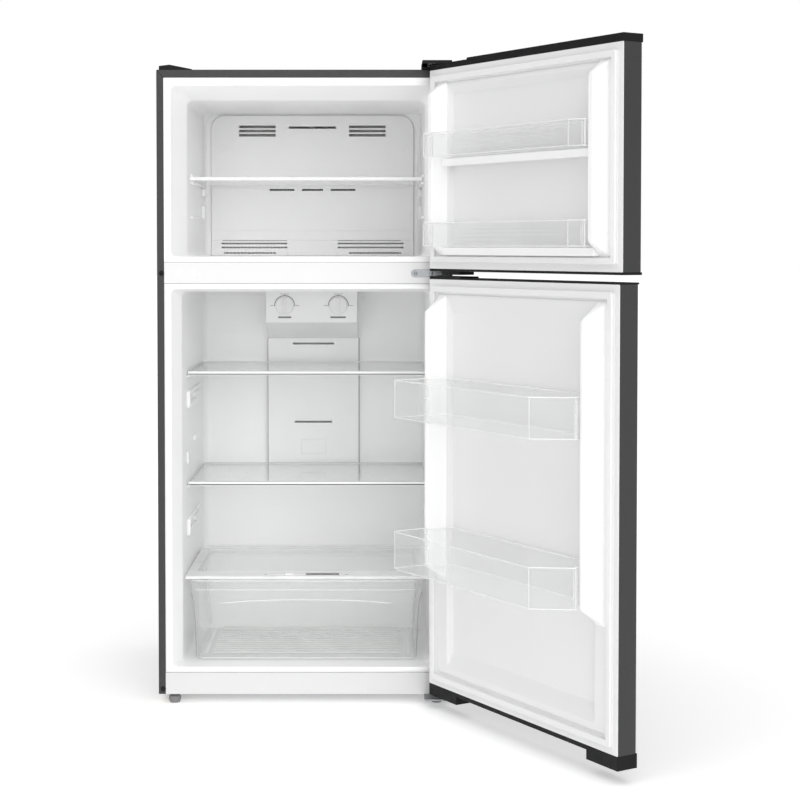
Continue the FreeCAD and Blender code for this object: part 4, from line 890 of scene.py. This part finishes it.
def drawer():
    """Clear crisper drawer: a flared front, a rolled rim, ribs across its floor, and painted shade lines down its
    front edges.
    """
    low, high = extent("crisper_drawer")
    foot_half = 268
    slope = (high.x - foot_half) / (high.z - low.z)

    def ring(inset, z, radius):
        half = foot_half + slope * (z - low.z) - inset
        return [(x, y, z) for x, y in
                rectangle(-half, half, low.y + inset, high.y - inset, radius)]

    shape = Shape()
    shape.loft([ring(7, low.z, 16), ring(4.4, low.z + 0.6, 18), ring(2.6, low.z + 2.6, 20),
                ring(1.9, low.z + 6, 22), ring(2.2, high.z - 7, 22), ring(0.4, high.z - 6, 22),
                ring(0, high.z - 1, 22), ring(0.6, high.z, 22), ring(3.6, high.z, 20),
                ring(4.6, high.z - 1, 20), ring(4.8, low.z + 9, 20), ring(6, low.z + 4.8, 18),
                ring(9, low.z + 3.2, 15)])
    shape.piece("crisper_drawer_tub", "crisper_drawer", "clear_plastic", ("crisper_drawer",),
                smooth=36)
    ribs = Shape()
    for k in range(13):
        y = low.y + 62 + k * 23
        ribs.box((-232, y, low.z + 3.3), (232, y + 9, low.z + 6), 1.3, 3)
    for side in (-1, 1):
        for k in range(16):
            y = low.y + 60 + k * 18
            ribs.box((side * 249 - 5, y, low.z + 3.3), (side * 249 + 5, y + 5, low.z + 6.2), 1.3, 3)
    ribs.piece("crisper_drawer_ribs", "crisper_drawer", MILKY, slot="clear_plastic", smooth=40)
    pull = Shape()
    line = []
    for k in range(33):
        t = k / 32 * 2 - 1
        line.append((205 * t, low.y + 3.0, 238 - 9 * t * t * abs(t)))
    pull.rope(line, 1.1, 8)
    pull.rope([(-foot_half, low.y + 2.6, 262.5), (foot_half, low.y + 2.6, 262.5)], 0.8, 8)
    top = ring(2.6, high.z - 1.6, 21)
    pull.rope(top + top[:2], 1.1, 8)
    foot = ring(6, low.z + 4.6, 17)
    pull.rope(foot + foot[:2], 1.2, 8)
    for side in (-1, 1):
        for y in (high.y - 4.5, high.y - 26):
            pull.rope([(side * 262, y, low.z + 18), (side * 277, y, high.z - 12)], 1.5, 8)
    pull.piece("crisper_drawer_pull", "crisper_drawer", CLEAR_EDGE, slot="clear_plastic", smooth=50)
    # painted shade: grey lines down the flared front edges
    lines = Shape()
    for side in (-1, 1):
        edge = []
        for k in range(25):
            t = k / 24
            bulge = 7.5 * (1 - math.exp(-t * 9))
            edge.append((side * (280 - bulge - 7 * t), low.y + 3.6, 258 - 158 * t))
        lines.rope(edge, 0.9, 8)
    lines.piece("crisper_drawer_edge_shade", "crisper_drawer", GREY_CLEAR_SHADE, slot="clear_plastic",
                smooth=50)


def freezer_shelf_lip():
    """The freezer shelf's thick front edge and the stiffening lip under it."""
    low, high = extent("freezer_shelf")
    lip = Shape()
    lip.box((low.x + 1, low.y + 0.2, low.z + 0.6), (high.x - 1, low.y + 4, high.z - 0.2), 1.3, 3)
    for y in (low.y + 26, high.y - 10):
        lip.box((low.x + 16, y, low.z + 0.3), (high.x - 16, y + 3, low.z + 4), 1.2, 3)
    lip.piece("freezer_shelf_lip", "freezer_shelf", MILKY, slot="clear_plastic", smooth=50)


def crisper_marks():
    """Plain triangles at the ends of the humidity slot, and the dark band along it."""
    low, high = extent("crisper_cover_frame")
    marks = Shape()
    for x in (-100, 97):
        marks.loft([[(x - 4, 81, z), (x + 4, 81, z), (x, 88, z)]
                    for z in (high.z - 0.1, high.z + 0.15)])
    marks.box((-2, 91.65, low.z + 0.4), (78.5, 91.98, high.z - 0.3), 0)
    marks.box((-2, 92.4, high.z - 0.1), (78.5, 101, high.z + 0.12), 0)
    marks.piece("humidity_marks", "cabinet", PRINT, slot="grey_plastic")


# ---- ironmongery and the back

def bay_ends():
    """Galvanised strips that close the foam's ends on each side of the machine bay."""
    low, high = extent("rear_panel")
    strips = Shape()
    for left, right in ((-349, -299.2), (299.2, 349)):
        strips.box((left, high.y - 0.75, 27.2), (right, high.y - 0.05, low.z - 0.2), 0.2)
    strips.piece("bay_end_strips", "cabinet", M["galvanised_steel"], slot="galvanised_steel")


def islands(data):
    """The corners of each separate lump of a mesh."""
    work = bmesh.new()
    work.from_mesh(data)
    bmesh.ops.remove_doubles(work, verts=work.verts, dist=WELD)
    seen, groups = set(), []
    for start in work.verts:
        if start in seen:
            continue
        stack, group = [start], []
        seen.add(start)
        while stack:
            v = stack.pop()
            group.append(v.co.copy())
            for other in (edge.other_vert(v) for edge in v.link_edges):
                if other not in seen:
                    seen.add(other)
                    stack.append(other)
        groups.append(group)
    work.free()
    return groups


def screw_heads():
    """Pan heads with a cross recess, one at each screw of the CAD model."""
    back = place_of("cabinet").inverted()
    shape = Shape()
    for group in islands(NODES["screws"].data):
        points = [back @ p for p in group]
        low = Vector([min(p[k] for p in points) for k in range(3)])
        high = Vector([max(p[k] for p in points) for k in range(3)])
        span = high - low
        k = min(range(3), key=lambda i: span[i])  # the axis along which the head stands out
        seat = (low + high) / 2
        outward = 1 if (k == 2 and seat.z > 700) or (k == 1 and seat.y > 300) else -1
        seat[k] = low[k] if outward > 0 else high[k]
        height = span[k]
        radius = max(span) / 2
        profile = [(radius, 0), (radius, 0.25 * height), (0.93 * radius, 0.6 * height),
                   (0.72 * radius, 0.86 * height), (0.4 * radius, 0.98 * height), (0, height)]
        shape.lathe([(r, outward * h) for r, h in profile], seat, "XYZ"[k], 28)
        for turn in (0, 1):
            arm = [0.16 * radius] * 3
            arm[[i for i in range(3) if i != k][turn]] = 0.62 * radius
            face = seat[k] + outward * height
            a = [seat[i] - arm[i] for i in range(3)]
            b = [seat[i] + arm[i] for i in range(3)]
            a[k], b[k] = face - 0.2, face + 0.02
            shape.box(a, b, 0)
    shape.piece("screw_heads", "cabinet", "zinc_steel", ("screws",), smooth=35)


def feet():
    """Levelling feet with a fluted rim."""
    for name in ("left_foot", "right_foot"):
        low, high = extent(name)
        x, y = (low.x + high.x) / 2, (low.y + high.y) / 2
        shape = Shape()
        profile = [(10.5, 0, 0), (12, 0.8, 0), (13.4, 5.5, 0), (14.2, 7, 0.3), (14.7, 8, 0.8),
                   (14.7, 14, 0.8), (14, 15.4, 0.4), (12, 17, 0), (4.2, 17, 0), (4, 18, 0),
                   (4, high.z - 0.6, 0), (3.4, high.z, 0)]
        rings = []
        for radius, height, flute in profile:
            ring = []
            for k in range(96):
                angle = 2 * math.pi * k / 96
                r = radius - flute * (0.5 + 0.5 * math.cos(16 * angle))
                ring.append((x + r * math.cos(angle), y + r * math.sin(angle), height))
            rings.append(ring)
        shape.loft(rings)
        shape.piece(name + "_fluted", name, SLOT_OF[name], (name,), smooth=40)


def back_details():
    """The compressor's weld seam, and the stiffening beads pressed into the rear panel."""
    low, high = extent("compressor")
    shape = Shape()
    shape.lathe([(65.5, 120), (67, 121), (68.2, 123), (68.2, 125), (67, 127), (65.5, 128)],
                ((low.x + high.x) / 2, (low.y + high.y) / 2, 0), "Z", 96)
    shape.piece("compressor_weld", "cabinet", "compressor_black", smooth=50)
    beads = Shape()
    low, high = extent("rear_panel")
    for z in (420, 640, 860, 1080, 1300):
        beads.box((low.x + 60, high.y - 0.3, z), (high.x - 60, high.y + 1.6, z + 12), 1.3, 3)
    beads.piece("rear_panel_beads", "cabinet", "galvanised_steel", smooth=40)


# ---- build

cabinet_wrap()
liner_walls()
freezer_shoulder()
shelf_rails()
hole_plugs()
shadow_seams()
duct_seam_shadows()
for name in ("freezer_door", "fridge_door"):
    door_steel(name)
    door_foam(name)
    gasket(name)
    refine(name + "_end_caps", 1.0, 3)
door_panel("freezer_door", 43.6, 44, 58.6, 59)
door_posts("freezer_door", (278, 310), (284, 303), 1075, 1471, 26, 38)
door_panel("fridge_door", 41.5, 54, 75.5, 88)
door_posts("fridge_door", (278, 310), (284, 298), 320, 978, 34, 49)
bins()
evaporator_trim()
control_marks()
knobs()
shelves()
drawer()
freezer_shelf_lip()
crisper_marks()
bay_ends()
screw_heads()
feet()
back_details()
# CAD nodes shown as they are but for eased edges, each with its edges' radius in millimetres.
EASED = {"front_rail": 1.0, "mullion_cover": 0.8, "evaporator_cover": 0.8, "duct_cover": 0.8,
         "deodoriser_cover": 0.0, "control_housing": 1.2, "freezer_shelf": 1.2,
         "crisper_cover_frame": 0.8, "humidity_slider": 0.3, "top_hinge": 0.5,
         "top_hinge_cover": 1.6, "hinge_blank_cover": 1.2, "middle_hinge": 0.6,
         "bottom_hinge": 0.6, "left_roller": 0.6, "right_roller": 0.6, "compressor_plate": 0.4,
         "compressor": 0.8, "compressor_grommets": 0.8, "start_relay_box": 1.0,
         "evaporating_tray": 0.5, "cord_gland": 0.6, "rear_spacers": 1.2, "rear_panel": 0.15}
# the crisper frame's milky finish, and the mullion cover's darker copy of the white plastic (painted shade)
FINISH_OR_SHADED_COPY = {"crisper_cover_frame": MILKY, "mullion_cover": FRONT_WHITE_SHADED}
for source, radius in EASED.items():
    refine(source, radius, material=FINISH_OR_SHADED_COPY.get(source))
for name, thing in NODES.items():
    if not thing.hide_render:
        thing.data.materials.clear()
        thing.data.materials.append(M[SLOT_OF[name]])

# ---- stage, light, camera

ground = bmesh.new()
bmesh.ops.create_circle(ground, cap_ends=True, radius=60, segments=64)
data = bpy.data.meshes.new("floor")
ground.to_mesh(data)
ground.free()
floor = bpy.data.objects.new("floor", data)
bpy.context.scene.collection.objects.link(floor)
pale = finish_of("pale_floor", (0.93, 0.93, 0.93), 0.8, 0, 30, 0.0, 0.0, shine=0.1)
glow = pale.node_tree.nodes["Principled BSDF"].inputs
glow["Emission Color"].default_value = (1, 1, 1, 1)
glow["Emission Strength"].default_value = 0.3
data.materials.append(pale)

scene = bpy.context.scene
scene.view_settings.view_transform = "Standard"
scene.cycles.transparent_max_bounces = 48
scene.cycles.max_bounces = 10
scene.cycles.diffuse_bounces = 7
world = bpy.data.worlds.new("studio")
scene.world = world
world.use_nodes = True
tree = world.node_tree
background = tree.nodes["Background"]
seen = node(tree, "LightPath").outputs["Is Camera Ray"]
tree.links.new(spread(tree, seen, 0.37, 1.0, 0, 1), background.inputs["Strength"])
background.inputs["Color"].default_value = (1, 1, 1, 1)

SUNS = (("key", 1.7, 60, (-0.22, 0.92, -0.2)), ("fill", 0.2, 30, (0.6, 0.45, -0.75)),
        ("top", 1.2, 80, (0.05, 0.2, -1)))  # name, energy, spread in degrees, direction
for name, energy, angle, aim in SUNS:
    light = bpy.data.lights.new(name, "SUN")
    light.energy = energy
    light.angle = math.radians(angle)
    lamp = bpy.data.objects.new(name, light)
    lamp.rotation_euler = Vector(aim).to_track_quat("-Z", "Y").to_euler()
    scene.collection.objects.link(lamp)

camera = bpy.data.objects.new("camera", bpy.data.cameras.new("camera"))
camera.data.lens = 77.72
camera.data.shift_x = 0.0249
camera.data.shift_y = -0.12
camera.location = (-0.0005, -4.1072, 1.0942)
camera.rotation_euler = (math.radians(90 - 1.926), 0, 0)
scene.collection.objects.link(camera)
scene.camera = camera
